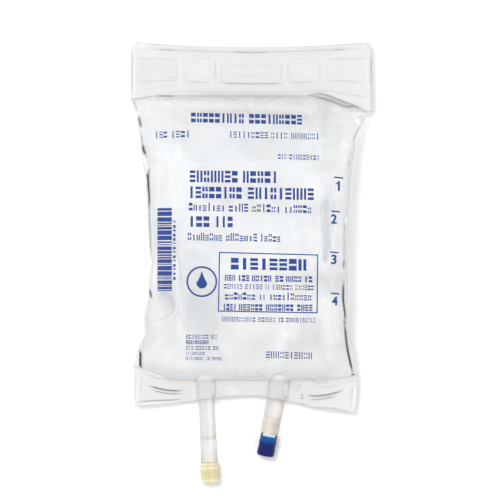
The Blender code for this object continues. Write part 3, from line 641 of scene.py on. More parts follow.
def fluidInside(x, y, front, back):  # the fluid's own skin, parallel to the film and a little inside it
    front, back = (smoothed(sign * lowest(sign * heights, fluid["around"]), fluid["passes"])
                   for sign, heights in ((1, front), (-1, back)))
    rows = slice(fluid["endRows"], -fluid["endRows"], fluid["skip"])
    columns = slice(None, None, fluid["skip"])
    x, y, front, back = (values[rows, columns].copy() for values in (x, y, front, back))
    middle = (x[:, :1] + x[:, -1:]) / 2
    half = (x[:, -1:] - x[:, :1]) / 2
    x = middle + (x - middle) * (1 - fluid["sideInside"] / half)
    level = (front + back) / 2
    front = np.maximum(front - fluid["inside"], level + fluid["thinnest"])
    back = np.minimum(back + fluid["inside"], level - fluid["thinnest"])
    for edge in borders:
        back[edge] = level[edge]
    back = np.minimum(gentled(back, x, y, fluid["steepest"]), front - fluid["thinnest"])
    made = closedSkin("fluidBody", x, y, front, back, fluidMaterial)
    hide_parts("fluid_fill")


film = makePouch()
print("pouch film:", len(film.data.polygons), "faces")


# Hanger band and seal band
hanger = {
    "columns": 381, "rows": 77, "margin": 0.15 * mm, "half": 0.42 * mm, "overlap": 0.8 * mm,
    "levelX": -0.97, "levelFrom": 4.0 * mm, "levelTo": 27.0 * mm, "levelSteps": 24, "straight": 0.88,
    "lipInset": 1.3 * mm, "insetReach": 5.0 * mm, "out": (1.5 * mm, 0.6 * mm),  # left, right
    "lip": (1.7 * mm, 1.25 * mm, 0.28 * mm),  # place below the top, width, height
    "groove": (3.45 * mm, 0.3 * mm, -0.22 * mm), "step": (5.3 * mm, 0.4 * mm, -0.08 * mm),
    "padRim": 0.5 * mm, "rimHeight": 0.16 * mm, "padHeight": 0.10 * mm, "padCorner": 2.2 * mm,
}
pads = [  # photo pixels: left, top, right, bottom
    (134.6, 57.8, 176.6, 80.6), (184.2, 57.6, 213.6, 81.6), (220.4, 57.0, 284.0, 82.8),
    (290.4, 57.4, 319.4, 81.8), (327.4, 58.4, 369.0, 81.4),
]
# embossed edges and lines of the hanger band, with painted shade and painted highlights along them, and a few
# broad patches of painted shade
hangerLines = [
    ([(137, 43.2), (180, 44.0), (220, 45.8), (250, 46.4)], 0.9, 0.0, 0.36),
    ([(250, 46.4), (290, 45.4), (330, 43.8), (367, 42.8)], 0.9, 0.0, 0.36),
    ([(137, 46), (180, 47), (250, 49), (330, 46.5), (367, 45.5)], 2.6, 0.0, 0.09),
    ([(140, 54), (140, 88)], 9, 0.0, 0.08),
    ([(150, 66), (174, 72)], 9, 0.0, 0.04),
    ([(132.0, 50), (131.8, 70), (131.2, 97)], 0.9, 0.0, 0.3),
    ([(373.2, 52), (372.9, 70), (372.4, 96), (371.6, 109)], 0.9, 0.0, 0.3),
    ([(146, 48.8), (162, 49.2), (180, 50), (200, 50.8), (230, 51.6), (250, 52), (280, 51.4), (310, 50.4),
      (335, 49.2), (364, 48.8)], 0.9, 0.15, 0.30),
    ([(158, 49), (166, 49.3), (174, 49.8)], 0.9, 0.1, 0.30),
    ([(233, 51.7), (250, 52.1), (268, 51.8)], 0.9, 0.1, 0.28),
    ([(334, 49.4), (346, 48.8)], 0.9, 0.1, 0.26),
    ([(160, 53), (190, 54), (220, 55), (250, 55.2), (290, 54.2), (340, 52.6)], 0.8, 0.1, 0.07),
    ([(136, 57.9), (150, 57.9), (160, 58.4), (176, 59.2)], 0.7, 0.1, 0.16),
    ([(176.2, 59), (176.6, 66), (176.4, 78)], 0.8, 0.1, 0.10),
    ([(143, 82), (150, 80.9), (158, 80.1), (176, 80.3)], 0.8, 0.1, 0.22),
    ([(168, 77), (175, 77.6), (178, 75)], 0.8, -0.1, 0.14),
    ([(179.6, 58), (180.4, 70), (179, 82)], 1.2, -0.1, -0.35),
    ([(184, 60), (184.4, 79)], 0.8, 0.1, 0.10),
    ([(188, 80.5), (192, 81.9), (202, 82.2), (212.6, 82.1)], 0.8, 0.1, 0.26),
    ([(187, 58.4), (212, 58.4)], 0.8, 0.1, 0.08),
    ([(209.6, 64), (213, 70), (212.6, 77)], 1.0, 0.1, 0.08),
    ([(192, 70), (206, 69), (208, 76)], 5.0, -0.1, -0.35),
    ([(215.6, 60), (215.6, 78)], 0.8, 0.1, 0.26),
    ([(218, 58), (218.2, 80)], 0.9, -0.1, -0.45),
    ([(220.6, 62), (220.8, 78)], 0.8, 0.1, 0.12),
    ([(213, 82), (212.4, 87)], 1.4, -0.1, -0.4),
    ([(220, 80.4), (222, 82.6), (232, 83.2), (250, 83.4), (270, 83.3), (281, 83), (283.6, 81.4)],
     0.85, 0.3, 0.5),
    ([(228, 64.4), (262, 64.2), (276, 64.8)], 0.8, 0.05, 0.06),
    ([(232, 75.6), (262, 75.4), (276, 75)], 0.8, 0.05, 0.07),
    ([(281.4, 62), (281.4, 79)], 0.9, 0.1, 0.14),
    ([(285.4, 58), (285.2, 82)], 1.0, -0.1, -0.5),
    ([(288.2, 60), (288.2, 80)], 0.8, 0.1, 0.14),
    ([(291.6, 80.6), (294, 82), (304, 82), (316, 80.8)], 0.9, 0.1, 0.26),
    ([(292, 58.4), (314, 58.2), (319, 61)], 0.8, 0.1, 0.10),
    ([(319.8, 62), (319.8, 78)], 0.8, 0.1, 0.14),
    ([(296, 66), (306, 72), (314, 74)], 4.6, -0.1, -0.3),
    ([(323.4, 58), (323.6, 82)], 1.3, -0.1, -0.3),
    ([(328, 59.2), (340, 58.4), (368, 58.2)], 0.9, 0.1, 0.24),
    ([(328.2, 81), (340, 80.2), (352, 80.8), (361, 82.6)], 0.8, 0.1, 0.26),
    ([(372.3, 56), (372.1, 86)], 1.5, 0.2, 0.7),
    ([(367.4, 58), (367.6, 84)], 1.5, -0.1, -0.4),
    ([(134.6, 58), (134.4, 92)], 1.3, -0.1, -0.35),
    ([(132.2, 52), (132.0, 94)], 1.0, 0.1, 0.16),
    ([(141.6, 44.6), (143, 46.6)], 2.4, -0.1, -0.8),
    ([(190, 92.6), (215, 93.4), (250, 93.4), (300, 93.2)], 2.6, 0.2, 0.15),
    ([(160, 92), (190, 91), (230, 91)], 1.2, 0.1, 0.07),
    ([(138, 90), (156, 86.4), (176, 84.4)], 1.0, 0.1, 0.06),
    ([(308, 91), (330, 90.6), (344, 94), (360, 95.6), (366, 97.6)], 1.0, 0.1, 0.14),
    ([(356, 95.4), (362, 95.8), (366, 97.8)], 0.8, 0.1, 0.22),
    ([(330, 93), (345, 98), (360, 104)], 1.4, -0.1, -0.3),
]
band = {"columns": 301, "rows": 61, "passes": 2, "edgePasses": 8, "clearOfPorts": 1.5 * mm,
        "overlap": 0.6 * mm, "proud": 0.1 * mm}
# lines, pockets and edges of the seal band, with painted shade and painted highlights along them
bandLines = [
    ([(149, 386.4), (153, 387.2), (158, 388.8), (164, 390.2), (170, 391), (182, 391.2)], 0.8, 0.25, 1.0),
    ([(152.6, 390), (158, 392), (164, 393.4), (170, 394), (182, 394.2)], 0.8, 0.2, 0.66),
    ([(136, 403), (143, 402), (150, 401.2), (165, 400.8), (174, 400.3), (182, 399.5)], 0.8, 0.2, 0.72),
    ([(134.4, 372), (134.6, 386), (133.8, 406)], 1.0, 0.1, 0.26),
    ([(141.4, 381), (140, 388), (137.4, 396)], 1.0, 0.1, 0.20),
    ([(138, 372), (138.2, 384), (136.4, 404)], 0.9, -0.1, -0.3),
    ([(136, 404.6), (160, 403.6), (182, 402)], 1.0, -0.1, -0.7),
    ([(136, 407.4), (160, 405), (184, 403.4)], 1.0, 0.1, 0.28),
    ([(144, 372.6), (150, 376), (157, 378.4), (166, 379.4), (176, 379.6)], 0.9, 0.1, 0.26),
    ([(147, 370.8), (155, 375.4), (164, 377)], 1.2, -0.1, -0.5),
    ([(168, 380.6), (176, 380.6)], 0.7, 0.1, 0.16),
    ([(183.8, 384), (183.8, 402)], 0.9, 0.1, 0.10),
    ([(184, 403.2), (190, 402.6), (195, 400.6)], 1.2, -0.1, -0.9),
    ([(194, 384), (194.2, 400)], 1.4, -0.1, -0.8),
    ([(187, 398.4), (187.6, 399.4)], 1.3, 0.0, 0.22),
    ([(199.6, 399), (199.8, 384), (200.6, 378.6)], 0.7, 0.0, 0.10),
    ([(208.4, 399), (208.2, 378)], 0.8, 0.0, -0.25),
    ([(199, 392.2), (211, 392.4)], 0.7, 0.0, 0.28),
    ([(196, 400), (204, 400.2), (214, 400)], 0.8, 0.0, 0.16),
    ([(216, 398.4), (222, 397.4), (236, 396.6), (262, 396.8)], 1.1, 0.1, 0.28),
    ([(224, 391), (231, 389.4), (236, 393), (228, 394)], 2.2, -0.1, -0.6),
    ([(216, 383), (240, 383.4), (264, 384)], 1.0, -0.1, -0.3),
    ([(240, 377), (262, 377.4)], 0.8, 0.1, 0.2),
    ([(259, 385), (263, 384)], 1.6, -0.1, -0.5),
    ([(270, 389), (269.6, 397)], 1.1, 0.0, 0.42),
    ([(276, 394), (284, 394.6)], 1.4, 0.0, 0.12),
    ([(272, 400.6), (280, 402.6), (286, 401.6)], 0.9, 0.0, 0.16),
    ([(302.3, 395.0), (302.3, 395.8)], 1.0, 0.1, 1.1),
    ([(302.2, 398.2), (302.2, 399.0)], 1.1, 0.1, 1.2),
    ([(299.4, 385.6), (299.4, 386.4)], 1.4, 0.1, 0.5),
    ([(308, 396), (314, 396.4), (320, 396.2), (328, 395.2), (336, 393.2), (342.6, 390.6)], 0.9, 0.25, 0.9),
    ([(309, 400.2), (318, 400), (326, 398.8), (336, 396.8)], 0.9, 0.2, 0.6),
    ([(296, 403.4), (303, 405), (309, 407)], 1.0, 0.1, 0.4),
    ([(311, 407.4), (320, 408.6), (331, 408.6), (340, 410.4), (350, 412)], 0.9, 0.2, 0.45),
    ([(312, 410.4), (330, 411), (350, 414.4)], 1.1, -0.1, -0.7),
    ([(290, 404.4), (305, 409), (318, 412.4), (335, 413.4), (352, 416)], 1.0, 0.1, 0.3),
    ([(356.4, 385), (355, 396), (353.6, 410)], 1.1, -0.1, -0.9),
    ([(352.6, 386), (352.2, 396), (350.8, 408)], 0.8, 0.1, 0.22),
    ([(358.4, 386), (357, 398), (355.6, 413)], 0.9, 0.1, 0.34),
    ([(346, 391), (346.6, 395)], 1.8, -0.1, -0.7),
    ([(345, 398), (348, 403)], 1.4, -0.1, -0.5),
    ([(311, 379.6), (315, 382.6), (320, 383.4), (329, 383)], 0.9, 0.1, 0.3),
    ([(312, 386), (326, 388), (342, 385)], 0.9, 0.1, 0.12),
    ([(344, 383.6), (354, 380)], 0.8, 0.1, 0.16),
    ([(292, 386), (296, 388), (298, 391)], 0.8, 0.1, 0.14),
]
paintedWarmLightLines = [  # painted warm light that the port tubes throw into the welds
    ([(198.4, 383), (197.6, 391), (198.4, 399)], 1.8, 0.0, 0.5),
    ([(201.5, 384), (200.6, 395)], 1.6, 0.0, 0.25),
    ([(211.6, 383), (213.6, 391), (212.6, 398)], 1.3, 0.0, 0.45),
    ([(271.6, 383), (274, 388), (275.6, 391)], 1.8, 0.0, 0.55),
    ([(285.6, 389), (286.8, 394), (286.4, 400)], 1.3, 0.0, 0.9),
    ([(272, 396), (280, 400)], 2.4, 0.0, 0.2),
    ([(156, 382.2), (176, 383), (193, 382.6)], 1.1, 0.0, 0.4),
    ([(216, 381.6), (240, 381.6), (266, 382)], 1.1, 0.0, 0.4),
    ([(336, 381), (345, 380), (352, 380.4)], 2.0, 0.0, 0.4),
]
edgeMargin = 0.3 * mm


def edgeCurve(side, columns, holes=()):  # the film's upper or lower border, outside the holes
    places = np.linspace(filmLow.x + edgeMargin, filmHigh.x - edgeMargin, columns)
    found = [(x, outermost(1, x, side)) for x in places if not any(low < x < high for low, high in holes)]
    return np.array([(x, spot.y) for x, spot in found if spot is not None])


def ridge(away, spot):  # a rounded ridge or groove along a line
    place, width, height = spot
    return height * np.exp(-((away - place) / width) ** 2)


def padHeight(x, y):  # the pads' raised rims and their faint plateaus
    total = np.zeros(x.shape)
    for left, top, right, bottom in pads:
        (lowX, lowY), (highX, highY) = fromPhoto(left, bottom), fromPhoto(right, top)
        corner = hanger["padCorner"]
        acrossX = np.abs(x - (lowX + highX) / 2) - (highX - lowX) / 2 + corner
        acrossY = np.abs(y - (lowY + highY) / 2) - (highY - lowY) / 2 + corner
        away = np.hypot(np.maximum(acrossX, 0), np.maximum(acrossY, 0)) - corner \
            + np.minimum(np.maximum(acrossX, acrossY), 0)
        total += hanger["rimHeight"] * np.exp(-(away / hanger["padRim"]) ** 2)
        total += hanger["padHeight"] * ease(-away / hanger["padRim"])
    return total


def hangerLevel(y):  # mid height of the band, read down its left border
    places = filmHigh.y - np.linspace(hanger["levelFrom"], hanger["levelTo"], hanger["levelSteps"])
    column = np.full(places.shape, hanger["levelX"] * halfWidth)
    front, back = facesAt(column, places)
    return np.polyval(np.polyfit(places, (front + back) / 2, 2), y)


def makeHanger():
    top = edgeCurve(1, hanger["columns"])
    top = top[np.abs(top[:, 0]) < hanger["straight"] * halfWidth]
    x = np.linspace(filmLow.x + hanger["margin"], filmHigh.x - hanger["margin"], hanger["columns"])
    upper = np.polyval(np.polyfit(*top.T, 4), x)
    shares = np.linspace(0, 1, hanger["rows"])[:, None]
    x = np.tile(x, (hanger["rows"], 1))
    y = upper[None, :] + (upperSeal(x) - hanger["overlap"] - upper[None, :]) * shares
    below = upper[None, :] - y
    raised = ease(1 - below / hanger["insetReach"])
    out = np.where(x < 0, *hanger["out"]) * (1 - raised)
    x = x * (1 + (out - hanger["lipInset"] * raised) / halfWidth)
    level = hangerLevel(y)
    deep, shade = strokeField(x, y, hangerLines + shoulderLines)
    half = hanger["half"] + sum(ridge(below, hanger[key]) for key in ("lip", "groove", "step"))
    made = closedSkin("hangerBand", x, y, level + half + padHeight(x, y) - deep, level - half, weldMaterial,
                      {"paintedShadeAndHighlight": shade})


def makeBand():
    ports = [(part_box(name)[0].x - band["clearOfPorts"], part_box(name)[1].x + band["clearOfPorts"])
             for name in ("injection_tube", "spike_tube")]
    low = edgeCurve(-1, band["columns"], ports)
    x = np.linspace(low[0, 0], low[-1, 0], band["columns"])
    lower = smoothed(np.interp(x, low[:, 0], low[:, 1])[:, None], band["edgePasses"], across=False)[:, 0]
    shares = np.linspace(0, 1, band["rows"])[:, None]
    x = np.tile(x, (band["rows"], 1))
    start = lowerSeal(x) + band["overlap"]
    y = start + (lower[None, :] + band["proud"] - start) * shares
    front, back = (smoothed(fillGaps(heights), band["passes"]) for heights in facesAt(x, y))
    deep, shade = strokeField(x, y, bandLines + bossLines)
    warmLightAmount = strokeField(x, y, paintedWarmLightLines)[1]
    made = closedSkin("sealBand", x, y, front - deep, back, weldMaterial,
                      {"paintedShadeAndHighlight": shade, "paintedWarmLight": warmLightAmount})


makeHanger()
makeBand()
print("hanger and seal band done")


# Print on the front film: rows of plain stroke cells, simple shapes, and the plain numbers of the scale
printLook = {
    "colour": (0.016, 0.05, 0.25), "pale": 1.25, "roughness": 0.35, "grain": (700.0, 0.1),
    "step": 0.8 * mm, "lift": 0.03 * mm, "thickness": 0.05 * mm, "seed": 11,
}
cellRows = [  # photo pixels: top, bottom, slope, look, then the left and right end of each group of cells
    (112.6, 122.4, 0.022, "bold", [(191, 245), (249, 303)]),
    (131.5, 138.5, -0.03, "thin", [(155, 168), (171, 191)]),
    (131.5, 138.0, 0.022, "thin", [(229, 269), (271, 288), (291, 320)]),
    (154.0, 159.4, 0.03, "thin", [(278, 287), (289, 320)]),
    (170.6, 182.4, 0.012, "bold", [(190, 239), (243, 279)]),
    (186.6, 198.2, 0.016, "bold", [(189, 243), (248, 315)]),
    (202.6, 210.8, 0.022, "low", [(189, 226), (229, 249), (252, 281), (284, 312)]),
    (216.2, 227.0, 0.010, "bold", [(189, 211), (215, 234)]),
    (232.4, 240.4, 0.018, "low", [(188, 223), (226, 258), (260, 281)]),
    (257.8, 269.2, 0.020, "heavy", [(231, 308)]),
    (274.6, 280.6, 0.020, "bold", [(225, 236), (238, 250), (252, 272), (275, 284), (286, 302), (304, 313)]),
    (283.4, 288.6, 0.020, "thin", [(224, 243), (245, 263), (265, 270), (272, 293), (295, 314)]),
    (291.8, 299.4, 0.012, "low", [(225, 256), (259, 266), (269, 312)]),
    (303.6, 310.0, 0.010, "bold", [(223, 237), (239, 263), (266, 294), (297, 313)]),
    (316.4, 321.4, 0.012, "thin", [(222, 256), (258, 276), (278, 284), (286, 316)]),
    (334.4, 338.8, 0.0, "thin", [(186, 209), (211, 218)]),
    (340.2, 344.0, 0.0, "bold", [(186, 209)]),
    (345.8, 350.0, 0.0, "thin", [(186, 194), (196, 211), (213, 219)]),
    (351.8, 354.8, 0.0, "thin", [(186, 205)]),
    (356.6, 360.0, 0.01, "thin", [(186, 204), (206, 210), (212, 222)]),
    (351.0, 358.0, 0.03, "thin", [(266, 313)]),
]
cellShapes = {  # strokes in a cell one wide and one high: left, bottom, right, top
    "posts": [(0.0, 0.0, 0.3, 1.0), (0.5, 0.0, 0.8, 1.0)],
    "rungs": [(0.0, 0.0, 0.8, 0.24), (0.0, 0.38, 0.8, 0.62), (0.0, 0.76, 0.8, 1.0)],
    "post": [(0.25, 0.0, 0.58, 1.0)],
    "stack": [(0.0, 0.0, 0.8, 0.4), (0.0, 0.58, 0.8, 1.0)],
    "squares": [(0.0, 0.0, 0.34, 0.42), (0.46, 0.0, 0.8, 0.42), (0.0, 0.58, 0.34, 1.0),
                (0.46, 0.58, 0.8, 1.0)],
}
cellLook = {  # width of a cell for its height, share of it that is inked, and how often one is low
    "heavy": (0.80, 1.05, 0.0), "bold": (0.62, 0.95, 0.0), "low": (0.56, 0.82, 0.65),
    "thin": (0.66, 0.66, 0.0),
}
cells = {"fewest": 2, "narrow": 0.5, "lowHeight": 0.72}  # strokes narrower than this share are thinned


def addBar(bm, left, top, right, bottom, slope=0.0, pivot=None):  # photo pixels
    pivot = left if pivot is None else pivot
    pixels = printLook["step"] / photo["pixel"]
    across, down = (max(1, math.ceil(size / pixels)) for size in (right - left, bottom - top))
    made = bmesh.ops.create_grid(bm, x_segments=across, y_segments=down, size=0.5)["verts"]
    for vert in made:
        px = mix(left, right, vert.co.x + 0.5)
        py = mix(bottom, top, vert.co.y + 0.5) + slope * (px - pivot)
        vert.co = (*fromPhoto(px, py), 0)
    return made


def addCells(bm, left, right, top, bottom, slope, look, pivot, dice):
    width, inked, lowShare = cellLook[look]
    high = bottom - top
    count = max(cells["fewest"], round((right - left) / (width * high)))
    pitch = (right - left) / count
    for index in range(count):
        start = left + index * pitch
        tall = cells["lowHeight"] * high if dice.random() < lowShare else high
        for x0, y0, x1, y1 in cellShapes[dice.choice(sorted(cellShapes))]:
            middle, half = (x0 + x1) / 2, (x1 - x0) / 2 * (inked if x1 - x0 < cells["narrow"] else 1)
            trim = (1 - inked) * (y1 - y0) / 2 if y1 - y0 < cells["narrow"] else 0
            addBar(bm, start + (middle - half) * pitch, bottom - (y1 - trim) * tall,
                   start + (middle + half) * pitch, bottom - (y0 + trim) * tall, slope, pivot)


def drawRows(bm):
    dice = random.Random(printLook["seed"])
    for top, bottom, slope, look, groups in cellRows:
        for left, right in groups:
            addCells(bm, left, right, top, bottom, slope, look, groups[0][0], dice)


frameBox = {"corners": [(219.7, 252.4), (317.6, 255.0), (316.8, 312.6), (218.6, 310.8)], "line": 1.1}


def drawFrame(bm):
    corners, half = frameBox["corners"], frameBox["line"] / 2
    for ends in zip(corners, corners[1:] + corners[:1]):
        wide, high = np.ptp(ends, axis=0)
        (ax, ay), (bx, by) = sorted(ends, key=lambda spot: spot[0 if wide > high else 1])
        if wide > high:
            addBar(bm, ax - half, ay - half, bx + half, ay + half, (by - ay) / (bx - ax), ax)
        else:
            for vert in addBar(bm, ax - half, ay + half, ax + half, by - half):
                vert.co.x += (bx - ax) / (by - ay) * (fromPhoto(0, ay)[1] - vert.co.y)


ring = {"place": (202.0, 281.5), "radius": 15.4, "line": 1.7, "steps": 64,
        "dropRadius": 5.4, "dropTall": 2.1, "dropTaper": 0.75, "dropLower": 0.25, "dropSides": 32}


def drawRing(bm):  # with a droplet in it
    x, y = fromPhoto(*ring["place"])
    outer, inner = (value * photo["pixel"] for value in (ring["radius"], ring["radius"] - ring["line"]))
    ends = [bm.verts.new((x + inner, y, 0)), bm.verts.new((x + outer, y, 0))]
    bmesh.ops.spin(bm, geom=[*ends, bm.edges.new(ends)], cent=(x, y, 0), axis=(0, 0, 1), angle=2 * math.pi,
                   steps=ring["steps"], use_merge=True)
    radius = ring["dropRadius"] * photo["pixel"]
    drop = bmesh.ops.create_circle(bm, cap_ends=True, cap_tris=True, segments=ring["dropSides"],
                                   radius=radius)["verts"]
    for vert in drop:
        rise = max(0.0, vert.co.y / radius)
        vert.co.x *= 1 - ring["dropTaper"] * rise
        vert.co.y *= mix(1.0, ring["dropTall"], rise)
    bmesh.ops.translate(bm, verts=drop, vec=(x, y - ring["dropLower"] * radius, 0))


stripes = {"left": 157.6, "right": 172.0, "top": 208.2, "bottom": 291.0, "lean": -0.01,
           "thick": (0.9, 1.6, 1.6, 2.6, 3.6, 4.4), "gaps": (0.8, 0.9, 1.3), "ticks": 14,
           "tickSpan": (221.0, 277.0), "tickLeft": 173.4, "tickRight": 175.8, "tickThick": (1.2, 1.8, 2.6)}


def drawStripes(bm):
    dice = random.Random(printLook["seed"] + 1)
    py = stripes["top"]
    while py < stripes["bottom"]:
        thick = dice.choice(stripes["thick"])
        addBar(bm, stripes["left"], py, stripes["right"], min(py + thick, stripes["bottom"]), stripes["lean"])
        py += thick + dice.choice(stripes["gaps"])
    for py in np.linspace(*stripes["tickSpan"], stripes["ticks"]):
        addBar(bm, stripes["tickLeft"], py, stripes["tickRight"], py + dice.choice(stripes["tickThick"]))


scaleMarks = {  # number: its dash's left, right and height, then the number's own left, top, right, bottom
    "1": (334.0, 343.0, 176.6, 337.6, 181.2, 339.7, 191.0),
    "2": (331.0, 340.0, 210.4, 330.8, 214.4, 336.6, 223.8),
    "3": (330.0, 338.4, 251.2, 330.8, 254.6, 336.4, 264.2),
    "4": (330.6, 339.4, 292.4, 331.6, 296.2, 337.6, 305.4),
}
scaleLook = {"dash": 1.4, "slope": 0.1, "bold": 0.03, "flag": (335.3, 183.6, 338.2, 184.9, -0.62),
             "corners": ((328, 310), (346, 174))}


def drawScale(bm):
    for number, (left, right, height, x0, y0, x1, y1) in scaleMarks.items():
        addBar(bm, left, height, right, height + scaleLook["dash"], scaleLook["slope"])
        curve = bpy.data.curves.new("number", "FONT")
        curve.body = number
        curve.offset = scaleLook["bold"]
        text = bpy.data.objects.new("number", curve)
        flat = bpy.data.meshes.new_from_object(text)
        before = set(bm.verts)
        bm.from_mesh(flat)
        fresh = [vert for vert in bm.verts if vert not in before]
        (lowX, highX), (lowY, highY) = ([pick(vert.co[axis] for vert in fresh) for pick in (min, max)]
                                        for axis in (0, 1))
        for vert in fresh:
            px = mix(x0, x1, (vert.co.x - lowX) / (highX - lowX))
            py = mix(y1, y0, (vert.co.y - lowY) / (highY - lowY))
            vert.co = (*fromPhoto(px, py), 0)
        bpy.data.objects.remove(text)
        bpy.data.curves.remove(curve)
        bpy.data.meshes.remove(flat)
    addBar(bm, *scaleLook["flag"])
    bmesh.ops.remove_doubles(bm, verts=bm.verts, dist=mergeWithin["print"])
    low, high = (fromPhoto(*corner) for corner in scaleLook["corners"])
    for axis in (0, 1):  # cuts the shapes small enough to follow the film
        normal = (1 - axis, axis, 0)
        for place in np.arange(low[axis], high[axis], printLook["step"]):
            spot = (place * (1 - axis), place * axis, 0)
            bmesh.ops.bisect_plane(bm, geom=[*bm.verts, *bm.edges, *bm.faces], plane_co=spot, plane_no=normal)


def makeInk():
    material, tree, shader = newMaterial("blueInk")
    fine = grain(tree, *printLook["grain"])
    pale = tuple(printLook["pale"] * value for value in printLook["colour"])
    dress(tree, shader, Base_Color=blend(tree, fine.outputs["Mask"], printLook["colour"], pale),
          Normal=fine.outputs["Normal"], Roughness=printLook["roughness"], Metallic=0.0)
    return material


def layOnFilm(name, bm, material, tree):
    # presses flat shapes onto the film, seen from above, and gives them the ink's thickness
    bm.normal_update()
    for vert in bm.verts:
        hit = tree.ray_cast(Vector((vert.co.x, vert.co.y, scan["above"])), Vector((0, 0, -1)))[0]
        vert.co.z = hit.z + printLook["lift"]
    for face in bm.faces:
        if face.normal.z < 0:
            face.normal_flip()
    bm.normal_update()
    made = finishMesh(name, bm, material)
    thick = made.modifiers.new("ink thickness", "SOLIDIFY")
    thick.thickness = printLook["thickness"]
    thick.offset = 1.0


def makePrint():
    tree, ink = treeOf(film), makeInk()
    for name, draw in (("printRows", drawRows), ("printBox", drawFrame), ("printRing", drawRing),
                       ("printStripes", drawStripes), ("scaleMarks", drawScale)):
        bm = bmesh.new()
        draw(bm)
        layOnFilm(name, bm, ink, tree)


makePrint()
print("print done")


# Ports, on axes read from the frame
def pointsOf(name):
    mesh = nodes[name].data
    flat = np.zeros(len(mesh.vertices) * 3)
    mesh.vertices.foreach_get("co", flat)
    return flat.reshape(-1, 3)


def portPlace(tube, direction=None):  # local Z runs out along the port, from the tube's middle
    low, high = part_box(tube)
    if direction is None:
        points = pointsOf(tube)
        direction = Vector(np.linalg.svd(points - points.mean(0), full_matrices=False)[2][0])
        direction = direction if direction.y < 0 else -direction
    direction = direction.normalized()
    across = direction.cross(Vector((0, 0, 1))).normalized()
    turn = Matrix((across, direction.cross(across), direction)).transposed().to_4x4()
    return Matrix.Translation((low + high) / 2) @ turn


def measured(name, place):  # first and last distance along the port, least and most radius
    local = pointsOf(name) @ np.array(place.inverted().to_3x3()).T + np.array(place.inverted().translation)
    radius = np.hypot(local[:, 0], local[:, 1])
    return local[:, 2].min(), local[:, 2].max(), radius[radius > 0.1 * mm].min(), radius.max()


injectionPlace = portPlace("injection_tube")
spikePlace = portPlace("spike_tube", Vector(frame["joints"][0]["axis"]))


tubeGrain = {"scale": 420.0, "strength": 0.1}
tubeShadow = 0.9  # how much of the light a clear tube lets through


def makeTubeMaterial(name, look):
    # stripes across are painted light and shade: highlight stripes and darker lines where the wall's own
    # thickness bends the light, darker edges on some ports and sides lightened against the lamp's shading on
    # others; colours run along the port
    material, tree, shader = newMaterial(name)
    fine = grain(tree, tubeGrain["scale"], look.get("grain", tubeGrain["strength"]))
    along, across = (ramp(tree, attribute(tree, key), look[key]) for key in ("along", "across"))
    dress(tree, shader, Base_Color=blend(tree, 1.0, along, across, "MULTIPLY"), Normal=fine.outputs["Normal"],
          Roughness=look["roughness"], Metallic=0.0, Transmission_Weight=look["clear"], IOR=look["ior"])
    if look["clear"]:
        openShadows(tree, shader, tubeShadow)
    return material


milkyLook = {
    "roughness": 0.3, "clear": 0.5, "ior": 1.2,
    "across": [(-1.0, 0.92), (-0.9, 0.96), (-0.67, 0.93), (-0.43, 0.885), (-0.18, 0.83), (0.06, 0.85),
               (0.28, 1.0), (0.62, 1.0), (0.69, 0.95), (0.78, 1.0), (1.0, 0.98)],
    "along": [(0.0, (0.945, 0.93, 0.91)), (31.6, (0.945, 0.94, 0.92)), (31.9, (0.85, 0.85, 0.82)),
              (32.9, (0.89, 0.89, 0.86)), (33.2, (0.97, 0.97, 0.95))],
}
sleeveLook = {
    "roughness": 0.34, "clear": 0.5, "ior": 1.28, "grain": 0.06,
    "across": [(-1.0, 0.58), (-0.9, 0.80), (-0.8, 0.91), (-0.5, 0.90), (-0.42, 0.95), (-0.3, 0.93),
               (-0.2, 0.84), (-0.05, 0.87), (0.15, 0.96), (0.3, 1.0), (0.7, 1.0), (0.85, 0.95), (1.0, 0.76)],
    "along": [(0.0, (0.95, 0.95, 0.945)), (20.6, (0.96, 0.965, 0.97))],
}
bungLook = {
    "roughness": 0.42, "clear": 0.0, "ior": 1.45, "grain": 0.3,
    "across": [(-1.0, (0.93, 0.97, 0.90)), (-0.78, (0.96, 0.97, 0.86)), (-0.55, (0.96, 0.90, 0.68)),
               (-0.2, (0.90, 0.83, 0.62)), (0.1, (0.95, 0.88, 0.67)), (0.3, (1.0, 0.94, 0.74)),
               (0.5, (0.93, 0.88, 0.70)), (0.72, (1.0, 0.97, 0.86)), (1.0, (0.98, 0.93, 0.88))],
    # along: the darker stop at 7.5 mm is painted shade in the collar's groove
    "along": [(0.0, (0.80, 0.70, 0.45)), (5.8, (0.84, 0.74, 0.52)), (6.1, (0.93, 0.88, 0.82)),
              (7.2, (0.92, 0.87, 0.80)), (7.5, (0.72, 0.62, 0.52)), (8.1, (0.93, 0.89, 0.80)),
              (9.2, (0.88, 0.84, 0.76)), (10.2, (0.77, 0.70, 0.51)), (14.6, (0.79, 0.73, 0.53)),
              (15.4, (0.88, 0.85, 0.68)), (16.2, (0.90, 0.93, 0.84)), (17.2, (0.82, 0.87, 0.76))],
}
spikeLook = {
    "roughness": 0.3, "clear": 0.7, "ior": 1.25, "grain": 0.06,
    "across": [(-1.0, 1.0), (-0.88, 1.0), (-0.5, 0.94), (0.0, 0.91), (0.5, 0.94), (0.64, 0.90), (0.70, 1.0),
               (0.86, 1.0), (0.94, 0.97), (1.0, 0.92)],
    "along": [(0.0, (0.90, 0.875, 0.855)), (21.3, (0.92, 0.895, 0.875)), (21.8, (0.86, 0.82, 0.78)),
              (22.5, (0.95, 0.92, 0.89)), (24.3, (0.95, 0.92, 0.885)), (24.9, (0.84, 0.80, 0.75)),
              (25.5, (0.95, 0.92, 0.88)), (30.6, (0.95, 0.92, 0.875))],
}
